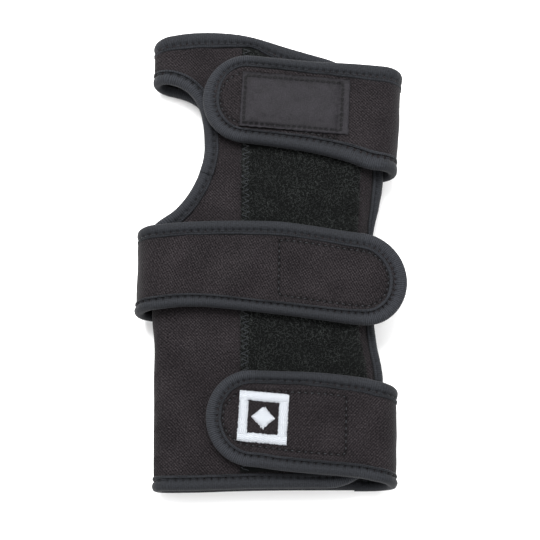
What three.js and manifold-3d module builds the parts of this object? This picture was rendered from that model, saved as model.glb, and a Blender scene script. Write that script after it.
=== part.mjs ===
// A bowling wrist glove, lying on its back with its three straps fastened. One padded panel is folded
// round the hand: its lower layer lies on the table, it folds up at the left, where the thumb comes out
// through a hole, and its upper layer ends in a free edge at the right. Two straps fold over from the
// right and one from the left. Millimetres, +Z up, +Y towards the fingers, +X towards the free edge.
import * as THREE from "three";
import Module from "manifold-3d";
import { mergeVertices } from "three/addons/utils/BufferGeometryUtils.js";

const wasm = await Module();
wasm.setup();

// Sizes of the folded panel
const LENGTH = 224; // forearm edge to the highest point of the finger edge
const WIDTH = 110.5; // left fold to the free edge
const PANEL = 3; // thickness of the padded laminate
const HOLLOW = 11; // clear height between the two layers at both ends
const WRIST_HOLLOW = 9; // the same at the wrist
const FOLD_DEPTH = 8; // how far the round of the left fold reaches across
const WAIST = 5.4; // how far the free edge draws in at the wrist
const FREE_DROOP = 4.5; // how far the free edge hangs down
const FREE_DROOP_REACH = 15; // over what width it does so
const CORNER = 24; // corner radius of the upper layer
const BACK_SHORT = 10; // how much narrower the lower layer is than the upper one
const LIFT_MARGIN = 3; // the panel stays lifted this far past the wrist strap
const LIFT_SLOPE = 64; // and comes back down over this length

// Binding tape, hook, loop and trim
const TAPE = 0.7;
const TAPE_WIDTH = 5.6;
const TAPE_GAP = 0.4; // clearance between the tape and the cloth it binds
const GAP = 0.3; // clearance between two other pieces that are sewn together
const LOOP = 1.6;
const HOOK = 1.2;
const LOOP_LEFT = 43.2; // left fold to the near side of the loop field
const LOOP_MARGIN = 7.8; // loop field to the free edge
const LOOP_TO_TAPE = 0.8; // loop field to the tape of the end edges

// Thumb hole
const WEB_HEIGHT = 20; // finger edge to the hole, at the fold
const THUMB_REACH = 28.5; // fold to the deepest point of the hole, along the cloth
const THUMB_HEIGHT = 74.4;
const THUMB_DEEPEST = 0.53; // where it is deepest, as a share of its height
const THUMB_UPPER_ROUND = 2.8; // exponents of the two halves of its outline
const THUMB_LOWER_ROUND = 1.8;

// Straps. Each reach is from fold to tip; a clearance is how far a fold stands out beside the panel.
const STRAP_WIDTH = 44;
const TIP = 21; // length of a strap's round end
const STRAP_FOLD_DEPTH = 9;
const HAND_STRAP_REACH = 94.6;
const WRIST_STRAP_REACH = 125.7;
const FOREARM_STRAP_REACH = 86.6;
const HAND_STRAP_CLEAR = 7.3;
const WRIST_STRAP_CLEAR = 5.3;
const FOREARM_STRAP_CLEAR = 3.6;
const HAND_STRAP_LEAN = 3; // how much further out the fold's finger end is than its forearm end
const FOREARM_STRAP_LEAN = 1;
const WRIST_STRAP_ROOT = 74; // left fold to the sewn root, under the lower layer
const ROOT_SEAT = 18; // length of the root that is sewn flat, without tape
const HOOK_INSET = 1.5; // strap tape to hook
// Sewn on the straps: margin is to the strap's tape, fromTip is to the middle, up is towards the fingers,
// and the long and the short sides are turned by two angles, in degrees.
const WOVEN_LABEL = { long: 52.3, margin: 1.3, thick: 0.6, fromTip: 44.6, up: 0.7, tilt: -5, lean: -2.2 };
const BADGE = { long: 22.8, margin: 3.8, thick: 0.9, fromTip: 26.3, up: 0.6, tilt: -5.2, lean: -5.2 };

// Derived levels: a bound edge is half a panel, a clearance and a tape wall thick on each side.
const HALF = PANEL / 2;
const EDGE = TAPE_GAP + TAPE;
const BOUND = HALF + EDGE;
const LIFT = BOUND + GAP + BOUND; // the panel lies over the wrist strap
const STANDOFF = HALF + GAP + LOOP + GAP + HOOK + GAP + HALF; // upper layer to a strap on it
const LEFT = -WIDTH / 2;
const WRIST_STATION = 0.455; // middle of the wrist strap, as a share of LENGTH

// The panel's two end edges. out: share of the way round the cloth from the fold to the free edge.
const FINGER_EDGE = [
  { out: -0.1, along: 0.993 },
  { out: 0, along: 0.984 },
  { out: 0.1, along: 0.993 },
  { out: 0.2, along: 1 },
  { out: 0.34, along: 1 },
  { out: 0.46, along: 0.991 },
  { out: 0.63, along: 0.963 },
  { out: 0.82, along: 0.934 },
  { out: 1, along: 0.91 },
];
const FOREARM_EDGE = [
  { out: 0, along: 0 },
  { out: 0.2, along: 0.001 },
  { out: 0.5, along: 0.005 },
  { out: 1, along: 0.006 },
];
// The free edge and the fold: each is the share of WAIST by which that side is drawn in.
const SIDES = [
  { along: 0, free: 0.3, fold: 0.6 },
  { along: 0.11, free: 0.38, fold: 0.5 },
  { along: 0.235, free: 0.27, fold: 0.5 },
  { along: 0.306, free: 0.77, fold: 0.49 },
  { along: 0.36, free: 0.99, fold: 0.34 },
  { along: 0.54, free: 0.95, fold: 0.22 },
  { along: 0.61, free: 0.34, fold: 0.14 },
  { along: 0.664, free: -0.05, fold: 0.08 },
  { along: 0.8, free: -0.1, fold: 0 },
  { along: 1, free: 0, fold: 0 },
];
// Straps: tip is the tip's share of LENGTH, and swing how far it lies nearer the fingers than the fold.
// out is 0 at the fold and 1 at the tip. rise is the share of swing that the middle line has climbed by
// there, and wide the share of STRAP_WIDTH. The hook pad runs from the place hookFrom to the tip.
const HAND_STRAP = {
  tip: 0.8433,
  swing: 11.1,
  hookFrom: 0.28,
  rows: [
    { out: 0, rise: 0, wide: 1.155 },
    { out: 0.12, rise: 0.05, wide: 1.175 },
    { out: 0.25, rise: 0.26, wide: 1.12 },
    { out: 0.45, rise: 0.51, wide: 1.045 },
    { out: 0.79, rise: 0.87, wide: 1.01 },
    { out: 1, rise: 1, wide: 1 },
  ],
};
const WRIST_STRAP = {
  tip: 0.4285,
  swing: -7.2,
  hookFrom: 0.53,
  rows: [
    { out: 0, rise: 0.04, wide: 0.97 },
    { out: 0.2, rise: -0.18, wide: 0.98 },
    { out: 0.5, rise: 0.07, wide: 1.02 },
    { out: 0.65, rise: 0.36, wide: 1.01 },
    { out: 0.8, rise: 0.72, wide: 0.98 },
    { out: 1, rise: 1, wide: 0.96 },
  ],
};
const FOREARM_STRAP = {
  tip: 0.1495,
  swing: 9,
  hookFrom: 0.28,
  rows: [
    { out: 0, rise: 0, wide: 1.01 },
    { out: 0.14, rise: 0.37, wide: 1.03 },
    { out: 0.25, rise: 0.5, wide: 1.045 },
    { out: 0.42, rise: 0.65, wide: 1.05 },
    { out: 0.59, rise: 0.76, wide: 1.03 },
    { out: 0.74, rise: 0.88, wide: 1 },
    { out: 1, rise: 1, wide: 1 },
  ],
};

// A smooth function through the rows of a table, flat beyond its ends.
function through(rows, key, value) {
  const last = rows.length - 1;
  const slope = (i) => {
    const a = rows[Math.max(i - 1, 0)];
    const b = rows[Math.min(i + 1, last)];
    return (b[value] - a[value]) / (b[key] - a[key]);
  };
  return (at) => {
    if (at <= rows[0][key]) return rows[0][value];
    if (at >= rows[last][key]) return rows[last][value];
    const i = rows.findIndex((r) => r[key] > at) - 1;
    const step = rows[i + 1][key] - rows[i][key];
    const t = (at - rows[i][key]) / step;
    const rest = 1 - t;
    return (
      rows[i][value] * (1 + 2 * t) * rest * rest +
      slope(i) * step * t * rest * rest +
      rows[i + 1][value] * (3 - 2 * t) * t * t -
      slope(i + 1) * step * rest * t * t
    );
  };
}

// From 0 to 1 by two parabolas, so that the bend is as slight as it can be.
const ease = (t) => {
  const c = Math.min(1, Math.max(0, t));
  return c < 0.5 ? 2 * c * c : 1 - 2 * (1 - c) * (1 - c);
};
const steps = (from, to, count) =>
  Array.from({ length: count + 1 }, (_, i) => from + ((to - from) * i) / count);
const stationY = (share) => (share - 0.5) * LENGTH;
const shareOf = (y) => y / LENGTH + 0.5;

// How far the panel is lifted by the wrist strap under it, from 0 to 1.
function lifted(y) {
  const clear = STRAP_WIDTH / 2 + LIFT_MARGIN;
  return ease(1 - (Math.abs(y - stationY(WRIST_STATION)) - clear) / LIFT_SLOPE);
}
const backLevel = (y) => BOUND + LIFT * lifted(y);
const frontLevel = (y) =>
  backLevel(y) + PANEL + HOLLOW + (WRIST_HOLLOW - HOLLOW) * lifted(y);

const drawFree = through(SIDES, "along", "free");
const drawFold = through(SIDES, "along", "fold");
const foldX = (y) => LEFT + EDGE + WAIST * drawFold(shareOf(y));
const freeX = (y) => LEFT + WIDTH - EDGE - WAIST * drawFree(shareOf(y));
const backX = LEFT + WIDTH - EDGE - BACK_SHORT;

const PROBE = 0.05; // the cloth's slope is taken over this distance to each side

// Cloth folded double along a nearly straight fold. A point of it is named by its distance s from the
// fold, measured round the cloth, negative on the lower leg, and by y. towards is 1 where the legs run
// to +X and -1 where they run to -X. shift is what a leg adds to its own level.
function foldedCloth({ edge, depth, low, high, towards, shift = () => 0 }) {
  const quarter = (y) => {
    const rise = (high(y) - low(y)) / 2;
    return (Math.PI / 2) * Math.sqrt((depth * depth + rise * rise) / 2);
  };
  const middle = (s, y) => {
    const q = quarter(y);
    const turn = (Math.min(1, Math.max(-1, s / q)) * Math.PI) / 2;
    const beyond = Math.max(0, Math.abs(s) - q);
    const rise = (high(y) - low(y)) / 2;
    const x = edge(y) + towards * (depth * (1 - Math.cos(turn)) + beyond);
    const z = low(y) + rise + rise * Math.sin(turn) + shift(s, x, y);
    return new THREE.Vector3(x, y, z);
  };
  const point = (s, y, out = 0) => {
    const ds = middle(s + PROBE, y).sub(middle(s - PROBE, y));
    const dy = middle(s, y + PROBE).sub(middle(s, y - PROBE));
    const normal = ds.cross(dy).normalize().multiplyScalar(towards);
    return middle(s, y).addScaledVector(normal, out);
  };
  const upper = (x, y) => quarter(y) + towards * (x - edge(y)) - depth;
  return { point, quarter, edge, towards, upper, lower: (x, y) => -upper(x, y) };
}

// Turns faces outwards where a closed mesh came out inside out.
function outward(positions, triangles) {
  const p = (i) => new THREE.Vector3().fromArray(positions, 3 * i);
  let volume = 0;
  for (let i = 0; i < triangles.length; i += 3)
    volume += p(triangles[i]).dot(p(triangles[i + 1]).cross(p(triangles[i + 2])));
  const right = [];
  for (let i = 0; i < triangles.length; i += 3)
    right.push(
      triangles[i],
      triangles[volume < 0 ? i + 2 : i + 1],
      triangles[volume < 0 ? i + 1 : i + 2],
    );
  return new THREE.BufferGeometry()
    .setAttribute("position", new THREE.Float32BufferAttribute(positions, 3))
    .setIndex(right);
}

// A closed layer of cloth: grid[column][row] holds [s, y], and it fills the cloth from inner to outer.
function layer(cloth, grid, inner, outer) {
  const rows = grid[0].length;
  const positions = [];
  for (const out of [inner, outer])
    for (const column of grid)
      for (const [s, y] of column) positions.push(...cloth.point(s, y, out).toArray());
  const at = (side, c, r) => (side * grid.length + c) * rows + r;
  const triangles = [];
  const quad = (a, b, c, d) => triangles.push(a, b, c, a, c, d);
  const lastColumn = grid.length - 1;
  for (let c = 0; c < lastColumn; c++) {
    for (let r = 0; r < rows - 1; r++) {
      quad(at(1, c, r), at(1, c + 1, r), at(1, c + 1, r + 1), at(1, c, r + 1));
      quad(at(0, c, r), at(0, c, r + 1), at(0, c + 1, r + 1), at(0, c + 1, r));
    }
    quad(at(0, c, 0), at(0, c + 1, 0), at(1, c + 1, 0), at(1, c, 0));
    quad(at(0, c, rows - 1), at(1, c, rows - 1), at(1, c + 1, rows - 1), at(0, c + 1, rows - 1));
  }
  for (let r = 0; r < rows - 1; r++) {
    quad(at(0, 0, r), at(1, 0, r), at(1, 0, r + 1), at(0, 0, r + 1));
    quad(
      at(0, lastColumn, r),
      at(0, lastColumn, r + 1),
      at(1, lastColumn, r + 1),
      at(1, lastColumn, r),
    );
  }
  return outward(positions, triangles);
}

// Binding tape folded over an edge. path is the cloth's edge as [s, y] points, walked with the cloth
// on the left hand. The tape's section is a U, and each of its sides follows the cloth in equal pieces.
function binding(cloth, path, { closed = false, pieces = 1 } = {}) {
  const inwards = steps(0, TAPE_WIDTH, pieces).slice(1);
  const outwards = [...inwards].reverse();
  const section = [
    ...outwards.map((inward) => [inward, BOUND]),
    [-EDGE, BOUND],
    [-EDGE, -BOUND],
    ...inwards.map((inward) => [inward, -BOUND]),
    ...outwards.map((inward) => [inward, TAPE - BOUND]),
    [-TAPE_GAP, TAPE - BOUND],
    [-TAPE_GAP, BOUND - TAPE],
    ...inwards.map((inward) => [inward, BOUND - TAPE]),
  ];
  const count = path.length;
  const positions = [];
  path.forEach(([s, y], i) => {
    const before = path[closed ? (i + count - 1) % count : Math.max(0, i - 1)];
    const after = path[closed ? (i + 1) % count : Math.min(count - 1, i + 1)];
    const run = new THREE.Vector2(after[0] - before[0], after[1] - before[1]).normalize();
    for (const [inward, out] of section)
      positions.push(
        ...cloth.point(s - run.y * inward, y + run.x * inward, out).toArray(),
      );
  });
  const n = section.length;
  const triangles = [];
  for (let i = 0; i < (closed ? count : count - 1); i++)
    for (let k = 0; k < n; k++) {
      const a = i * n + k;
      const b = i * n + ((k + 1) % n);
      const c = ((i + 1) % count) * n + ((k + 1) % n);
      const e = ((i + 1) % count) * n + k;
      triangles.push(a, b, c, a, c, e);
    }
  if (!closed) {
    const flat = section.map(([inward, out]) => new THREE.Vector2(inward, out));
    for (const [a, b, c] of THREE.ShapeUtils.triangulateShape(flat, [])) {
      const end = (count - 1) * n;
      triangles.push(a, c, b, end + a, end + b, end + c);
    }
  }
  return outward(positions, triangles);
}

// The folded panel. c runs from -2 at the lower layer's free edge to 2 at the upper layer's.
const panelCloth = foldedCloth({
  edge: foldX,
  depth: FOLD_DEPTH,
  low: backLevel,
  high: frontLevel,
  towards: 1,
  shift: (s, x, y) =>
    s > 0 ? -FREE_DROOP * Math.max(0, 1 - (freeX(y) - x) / FREE_DROOP_REACH) ** 2 : 0,
});
function panelS(c, y) {
  const q = panelCloth.quarter(y);
  if (c > 1) return q + (c - 1) * (panelCloth.upper(freeX(y), y) - q);
  if (c < -1) return -q + (-1 - c) * (panelCloth.lower(backX, y) + q);
  return c * q;
}
const upperSpan = freeX(0) - foldX(0) - FOLD_DEPTH;
const outShare = (c) => Math.abs(panelS(c, 0)) / panelS(2, 0);
const fingerEdge = through(FINGER_EDGE, "out", "along");
const forearmEdge = through(FOREARM_EDGE, "out", "along");
// The panel's end edges, with the upper layer's corners rounded.
const cornerCut = (c) => {
  const toCentre = Math.max(0, CORNER - (2 - c) * upperSpan);
  return CORNER - Math.sqrt(Math.max(0, CORNER ** 2 - toCentre ** 2));
};
const fingerY = (c) => stationY(fingerEdge(outShare(c))) - EDGE - cornerCut(c);
const forearmY = (c) => stationY(forearmEdge(outShare(c))) + EDGE + cornerCut(c);

const BACK_STEPS = 4;
const FOLD_STEPS = 10;
const FRONT_STEPS = 5;
const CORNER_STEPS = 5;
const PANEL_ROWS = 15;
const cornerShare = CORNER / upperSpan;
const cornerColumns = steps(90, 0, CORNER_STEPS)
  .slice(1)
  .map((degrees) => 2 - cornerShare * (1 - Math.cos(THREE.MathUtils.degToRad(degrees))));
const panelColumns = [
  ...steps(-2, -1, BACK_STEPS),
  ...steps(-1, 1, FOLD_STEPS).slice(1),
  ...steps(1, 2 - cornerShare, FRONT_STEPS).slice(1),
  ...cornerColumns,
];
const panelGrid = panelColumns.map((c) =>
  steps(forearmY(c), fingerY(c), PANEL_ROWS).map((y) => [panelS(c, y), y]),
);

// Thumb hole: two half superellipses that share their deepest point.
const thumbTop = fingerY(0) - WEB_HEIGHT;
const thumbFoot = thumbTop - THUMB_HEIGHT;
const thumbDeepest = thumbFoot + THUMB_DEEPEST * THUMB_HEIGHT;
const superellipse = (s, height, power) =>
  height * (1 - Math.min(1, Math.abs(s) / THUMB_REACH) ** power) ** (1 / power);
const thumbUpper = (s) =>
  thumbDeepest + superellipse(s, thumbTop - thumbDeepest, THUMB_UPPER_ROUND);
const thumbLower = (s) =>
  thumbDeepest - superellipse(s, thumbDeepest - thumbFoot, THUMB_LOWER_ROUND);
const thumbFoldSpan = panelCloth.quarter(thumbTop);
const THUMB_ANGLES = [22, 38, 54, 69, 82];
const THUMB_ROWS = 6;
const thumbSide = THUMB_ANGLES.map((degrees) => {
  const turn = Math.sin(THREE.MathUtils.degToRad(degrees));
  const start = thumbFoldSpan / THUMB_REACH;
  return THUMB_REACH * (start + (1 - start) * turn);
});
const thumbColumns = [
  ...thumbSide.map((s) => -s).reverse(),
  ...steps(-thumbFoldSpan, thumbFoldSpan, FOLD_STEPS),
  ...thumbSide,
];
const thumbGrid = thumbColumns.map((s) =>
  steps(thumbLower(s), thumbUpper(s), THUMB_ROWS).map((y) => [s, y]),
);
const thumbRing = [
  ...thumbColumns.map((s) => [s, thumbUpper(s)]),
  ...[...thumbColumns].reverse().map((s) => [s, thumbLower(s)]),
];

const MERGE = 1e-4; // points this close are one
function solidOf(geometry) {
  const bare = new THREE.BufferGeometry()
    .setAttribute("position", geometry.getAttribute("position"))
    .setIndex(geometry.getIndex());
  const merged = mergeVertices(bare, MERGE);
  return new wasm.Manifold(
    new wasm.Mesh({
      numProp: 3,
      vertProperties: merged.getAttribute("position").array,
      triVerts: new Uint32Array(merged.getIndex().array),
    }),
  );
}
function geometryOf(solid) {
  const mesh = solid.getMesh();
  return new THREE.BufferGeometry()
    .setAttribute("position", new THREE.Float32BufferAttribute(mesh.vertProperties, 3))
    .setIndex(Array.from(mesh.triVerts));
}
const CUT_PROUD = 2; // the hole's cutter stands this far out of both faces
const panelGeometry = geometryOf(
  solidOf(layer(panelCloth, panelGrid, -HALF, HALF)).subtract(
    solidOf(layer(panelCloth, thumbGrid, -HALF - CUT_PROUD, HALF + CUT_PROUD)),
  ),
);

// The loop field on the upper layer, inside the tape of both end edges.
function insideTape(edgeY, sign) {
  const edge = panelColumns.filter((c) => c > 0).map((c) => [panelS(c, edgeY(c)), edgeY(c)]);
  const moved = edge.slice(1).map(([s, y], i) => {
    const next = edge[Math.min(i + 2, edge.length - 1)];
    const run = new THREE.Vector2(next[0] - edge[i][0], next[1] - edge[i][1]).normalize();
    const inward = sign * (TAPE_WIDTH + LOOP_TO_TAPE);
    return { s: s - run.y * inward, y: y + run.x * inward };
  });
  return through(moved, "s", "y");
}
const insideForearmTape = insideTape(forearmY, 1);
const insideFingerTape = insideTape(fingerY, -1);
const LOOP_COLUMNS = [0, 0.19, 0.38, 0.56, 0.75, 0.85, 0.93, 1]; // closer where the free edge droops
const loopGrid = LOOP_COLUMNS.map((k) => {
  const sideS = (y) => {
    const left = panelCloth.upper(LEFT + LOOP_LEFT, y);
    const right = panelCloth.upper(freeX(y) - LOOP_MARGIN, y);
    return left + k * (right - left);
  };
  const foot = insideForearmTape(sideS(forearmY(1)));
  const top = insideFingerTape(sideS(fingerY(1)));
  return steps(foot, top, PANEL_ROWS).map((y) => [sideS(y), y]);
});
const loopGeometry = layer(panelCloth, loopGrid, HALF + GAP, HALF + GAP + LOOP);

// A strap: its cloth, and its edges as functions of how far out they lie, 0 at the fold, 1 at the tip.
function strap({ tip, swing, hookFrom, rows }, reach, cloth) {
  const rise = through(rows, "out", "rise");
  const wide = through(rows, "out", "wide");
  const tipShare = TIP / reach;
  const centre = (out) => stationY(tip) - swing * (1 - rise(out));
  const half = (out, edgeInset) => {
    const full = (wide(out) * STRAP_WIDTH) / 2 - EDGE - edgeInset;
    const end = 1 - (EDGE + edgeInset) / reach;
    const into = Math.max(0, (out - (1 - tipShare)) / (end - (1 - tipShare)));
    return full * Math.sqrt(Math.max(0, 1 - into * into));
  };
  const sOf = (out, y) => {
    const q = cloth.quarter(y);
    const foldShare = STRAP_FOLD_DEPTH / reach;
    if (out <= foldShare) return (out / foldShare) * q;
    return q + (out - foldShare) * reach;
  };
  return { centre, half, sOf, reach, cloth, tipShare, hookFrom };
}
const TIP_ANGLES = [0, 18, 35, 51, 66, 77, 85];
const QUARTER_STEPS = 4;
const STRAP_STEPS = 6;
const STRAP_ROWS = 4;
const HOOK_STEPS = 3;
function tipOuts({ reach, tipShare }, edgeInset) {
  const span = tipShare - (EDGE + edgeInset) / reach;
  return TIP_ANGLES.map(
    (degrees) => 1 - tipShare + span * Math.sin(THREE.MathUtils.degToRad(degrees)),
  );
}
// The strap's columns from its root to its tip: how far out each lies, and its s as a function of y.
function strapColumns(made, rootS, rootSteps) {
  const { reach, cloth, tipShare } = made;
  const foldShare = STRAP_FOLD_DEPTH / reach;
  const lowerLeg = (k) => (y) => -cloth.quarter(y) + k * (rootS(y) + cloth.quarter(y));
  const outs = [
    ...steps(0, foldShare, QUARTER_STEPS),
    ...steps(foldShare, 1 - tipShare, STRAP_STEPS).slice(1, -1),
    ...tipOuts(made, 0),
  ];
  return [
    ...steps(1, 0, rootSteps).map((k) => [0, lowerLeg(k)]),
    ...steps(-1, 0, QUARTER_STEPS).slice(1, -1).map((f) => [0, (y) => f * cloth.quarter(y)]),
    ...outs.map((out) => [out, (y) => made.sOf(out, y)]),
  ];
}
function strapLayer(made, columns) {
  const grid = columns.map(([out, s]) => {
    const centre = made.centre(out);
    const half = made.half(out, 0);
    return steps(centre - half, centre + half, STRAP_ROWS).map((y) => [s(y), y]);
  });
  return layer(made.cloth, grid, -HALF, HALF);
}
// The tape runs from the root along one edge, round the tip and back along the other.
function strapPath(made, columns) {
  const side = (sign) =>
    columns.map(([out, s]) => {
      const y = made.centre(out) + sign * made.half(out, 0);
      return [s(y), y];
    });
  return [...side(-1), ...side(1).reverse()];
}
// The hook pad under a strap's round end, inside its tape.
function hookLayer(made) {
  const edgeInset = TAPE_WIDTH + HOOK_INSET;
  const straight = steps(made.hookFrom, 1 - made.tipShare, HOOK_STEPS).slice(0, -1);
  const outs = [...straight, ...tipOuts(made, edgeInset)];
  const grid = outs.map((out) => {
    const centre = made.centre(out);
    const half = made.half(out, edgeInset);
    return steps(centre - half, centre + half, HOOK_STEPS).map((y) => [made.sOf(out, y), y]);
  });
  return layer(made.cloth, grid, -HALF - GAP - HOOK, -HALF - GAP);
}
// A label sewn on a strap's outer face.
const LABEL_STEPS = 4;
function sewnOn(made, { long, margin, thick, fromTip, up, tilt, lean }) {
  const { reach, centre, cloth } = made;
  const high = STRAP_WIDTH - 2 * (EDGE + TAPE_WIDTH + margin);
  const middleOut = 1 - fromTip / reach;
  const turn = THREE.MathUtils.degToRad(tilt);
  const sideTurn = THREE.MathUtils.degToRad(lean);
  const grid = steps(-long / 2, long / 2, LABEL_STEPS).map((a) =>
    steps(-high / 2, high / 2, LABEL_STEPS - 1).map((b) => {
      const across = a * Math.cos(turn) - b * Math.sin(sideTurn);
      const y = centre(middleOut) + up + a * Math.sin(turn) + b * Math.cos(sideTurn);
      const x = cloth.edge(y) + cloth.towards * middleOut * reach + across;
      return [cloth.upper(x, y), y];
    }),
  );
  return layer(cloth, grid, HALF + GAP, HALF + GAP + thick);
}

// The two straps from the right are sewn edge to edge to the lower layer.
const strapTop = (y) => frontLevel(y) + STANDOFF;
const RIGHT = LEFT + WIDTH;
const clothFromRight = (foldLine) =>
  foldedCloth({
    edge: foldLine,
    depth: STRAP_FOLD_DEPTH,
    low: backLevel,
    high: strapTop,
    towards: -1,
  });
const leaning = (made, clear, lean) => (y) =>
  RIGHT + clear + (lean * (y - stationY(made.tip) + made.swing)) / STRAP_WIDTH;
const handCloth = clothFromRight(leaning(HAND_STRAP, HAND_STRAP_CLEAR, HAND_STRAP_LEAN));
const forearmCloth = clothFromRight(
  leaning(FOREARM_STRAP, FOREARM_STRAP_CLEAR, FOREARM_STRAP_LEAN),
);
const rootFrom = (cloth, gap) => (y) => cloth.lower(backX + gap, y);
const ROOT_STEPS = 2;
const handStrap = strap(HAND_STRAP, HAND_STRAP_REACH, handCloth);
const forearmStrap = strap(FOREARM_STRAP, FOREARM_STRAP_REACH, forearmCloth);
const handColumns = strapColumns(handStrap, rootFrom(handCloth, GAP), ROOT_STEPS);
const handTapeColumns = strapColumns(handStrap, rootFrom(handCloth, GAP + EDGE), ROOT_STEPS);
const forearmColumns = strapColumns(forearmStrap, rootFrom(forearmCloth, GAP), ROOT_STEPS);
const forearmTapeRoot = rootFrom(forearmCloth, GAP + EDGE);
const forearmTapeColumns = strapColumns(forearmStrap, forearmTapeRoot, ROOT_STEPS);

// The wrist strap comes round the fold from its root under the lower layer.
const leftCloth = foldedCloth({
  edge: (y) => foldX(y) - WRIST_STRAP_CLEAR - BOUND,
  depth: STRAP_FOLD_DEPTH,
  low: () => BOUND,
  high: strapTop,
  towards: 1,
  shift: (s, x) =>
    s < 0 ? (LIFT - PANEL - GAP) * ease(1 - (LEFT + WRIST_STRAP_ROOT - x) / ROOT_SEAT) : 0,
});
const wristRoot = (y) => leftCloth.lower(LEFT + WRIST_STRAP_ROOT, y);
const wristTapeEnd = (y) => leftCloth.lower(LEFT + WRIST_STRAP_ROOT - ROOT_SEAT, y);
const wristStrap = strap(WRIST_STRAP, WRIST_STRAP_REACH, leftCloth);
const WRIST_ROOT_STEPS = 8;
const WRIST_TAPE_STEPS = 4;
const wristColumns = strapColumns(wristStrap, wristRoot, WRIST_ROOT_STEPS);
const wristTapeColumns = strapColumns(wristStrap, wristTapeEnd, WRIST_TAPE_STEPS);

// Tape on the panel: both end edges, round the fold, and the free edges of both layers. One panel row
// past a corner, the end's tape gives way to the free edge's.
const freeRows = steps(forearmY(2), fingerY(2), PANEL_ROWS).slice(1, -1);
const onFreeEdge = (y) => [panelS(2, y), y];
const onEnd = (edgeY) => panelColumns.map((c) => [panelS(c, edgeY(c)), edgeY(c)]);
const forearmPath = [...onEnd(forearmY), onFreeEdge(freeRows[0] - GAP)];
const fingerPath = [...onEnd(fingerY), onFreeEdge(freeRows.at(-1) + GAP)].reverse();
const freePath = freeRows.map(onFreeEdge);
const handRootLow = handStrap.centre(0) - handStrap.half(0, 0) - EDGE - GAP;
const forearmRootHigh = forearmStrap.centre(0) + forearmStrap.half(0, 0) + EDGE + GAP;
const BACK_PATH_STEPS = 8;
const backPath = steps(handRootLow, forearmRootHigh, BACK_PATH_STEPS).map((y) => [panelS(-2, y), y]);

const TWILL = { color: 0x2d292b, roughness: 0.92 };
const BINDING = { color: 0x3b3f43, roughness: 0.8 };
const PILE = { color: 0x1b1e1d, roughness: 1 };
const HOOKS = { color: 0x17191a, roughness: 0.7 };
const SATIN = { color: 0x38363c, roughness: 0.5 };
const THREAD = { color: 0xe8edf2, roughness: 0.6 };

const glove = new THREE.Group();
function add(name, geometry, finish) {
  const mesh = new THREE.Mesh(geometry, new THREE.MeshStandardMaterial({ metalness: 0, ...finish }));
  mesh.name = name;
  glove.add(mesh);
}
add("glove_panel", panelGeometry, TWILL);
add("finger_end_binding", binding(panelCloth, fingerPath, { pieces: 2 }), BINDING);
add("forearm_end_binding", binding(panelCloth, forearmPath, { pieces: 2 }), BINDING);
add("free_edge_binding", binding(panelCloth, freePath, { pieces: 2 }), BINDING);
add("back_edge_binding", binding(panelCloth, backPath), BINDING);
const ringTape = { closed: true, pieces: 3 };
add("thumb_hole_binding", binding(panelCloth, thumbRing, ringTape), BINDING);
add("loop_field", loopGeometry, PILE);
add("hand_strap", strapLayer(handStrap, handColumns), TWILL);
add("hand_strap_binding", binding(handCloth, strapPath(handStrap, handTapeColumns)), BINDING);
add("hand_strap_hook", hookLayer(handStrap), HOOKS);
add("woven_label", sewnOn(handStrap, WOVEN_LABEL), SATIN);
add("wrist_strap", strapLayer(wristStrap, wristColumns), TWILL);
add("wrist_strap_binding", binding(leftCloth, strapPath(wristStrap, wristTapeColumns)), BINDING);
add("wrist_strap_hook", hookLayer(wristStrap), HOOKS);
add("forearm_strap", strapLayer(forearmStrap, forearmColumns), TWILL);
add("forearm_strap_binding", binding(forearmCloth, strapPath(forearmStrap, forearmTapeColumns)), BINDING);
add("forearm_strap_hook", hookLayer(forearmStrap), HOOKS);
add("embroidered_badge", sewnOn(forearmStrap, BADGE), THREAD);

// The glove stands on z = 0 with the middle of its outline at the origin.
const box = new THREE.Box3().setFromObject(glove);
const middle = box.getCenter(new THREE.Vector3());
glove.position.set(-middle.x, -middle.y, -box.min.z);

export default glove;
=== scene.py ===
# %% [markdown]
# # A padded wrist glove for bowling
# The photograph shows one black glove, lying on its back on a white table and seen from nearly
# straight above. It is a sewn thing: a padded cloth folded round the hand, tape over every raw
# edge, a field of loop pile, and three straps that wrap over and fasten on the pile.
#
# We build it the way it is sewn. Each piece is first cut flat, on a grid that is numbered in
# columns and rows. Then one function folds the flat piece to where it lies. All lengths below are
# millimetres, and the last step of every piece turns them into Blender's metres.

# %% Libraries and the measured part
import math

import bmesh
import bpy
import numpy as np
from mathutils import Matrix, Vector


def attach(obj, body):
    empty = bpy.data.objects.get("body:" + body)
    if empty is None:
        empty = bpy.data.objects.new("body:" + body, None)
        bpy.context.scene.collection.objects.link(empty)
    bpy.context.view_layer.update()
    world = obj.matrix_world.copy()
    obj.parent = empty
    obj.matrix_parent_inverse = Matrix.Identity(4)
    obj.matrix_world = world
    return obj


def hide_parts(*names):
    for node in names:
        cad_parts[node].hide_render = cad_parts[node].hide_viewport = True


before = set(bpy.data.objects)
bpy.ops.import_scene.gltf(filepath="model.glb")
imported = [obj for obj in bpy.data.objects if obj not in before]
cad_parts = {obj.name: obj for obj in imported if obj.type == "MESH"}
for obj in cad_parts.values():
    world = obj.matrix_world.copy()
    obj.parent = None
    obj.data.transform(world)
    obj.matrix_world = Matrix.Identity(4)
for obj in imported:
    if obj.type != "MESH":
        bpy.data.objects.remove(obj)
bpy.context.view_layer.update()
MM = 0.001
TAU = 2 * math.pi
PART_MIDDLE = np.array([-1.67088, -0.08216, 0.0])  # from the sizes' origin to the part's, in mm
dice = np.random.default_rng(7)

# %% [markdown]
# ## Sizes
# These are the sizes of the measured part. The cloth is three millimetres thick, and a bound edge
# is a little thicker, because the tape goes round it.

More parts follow.
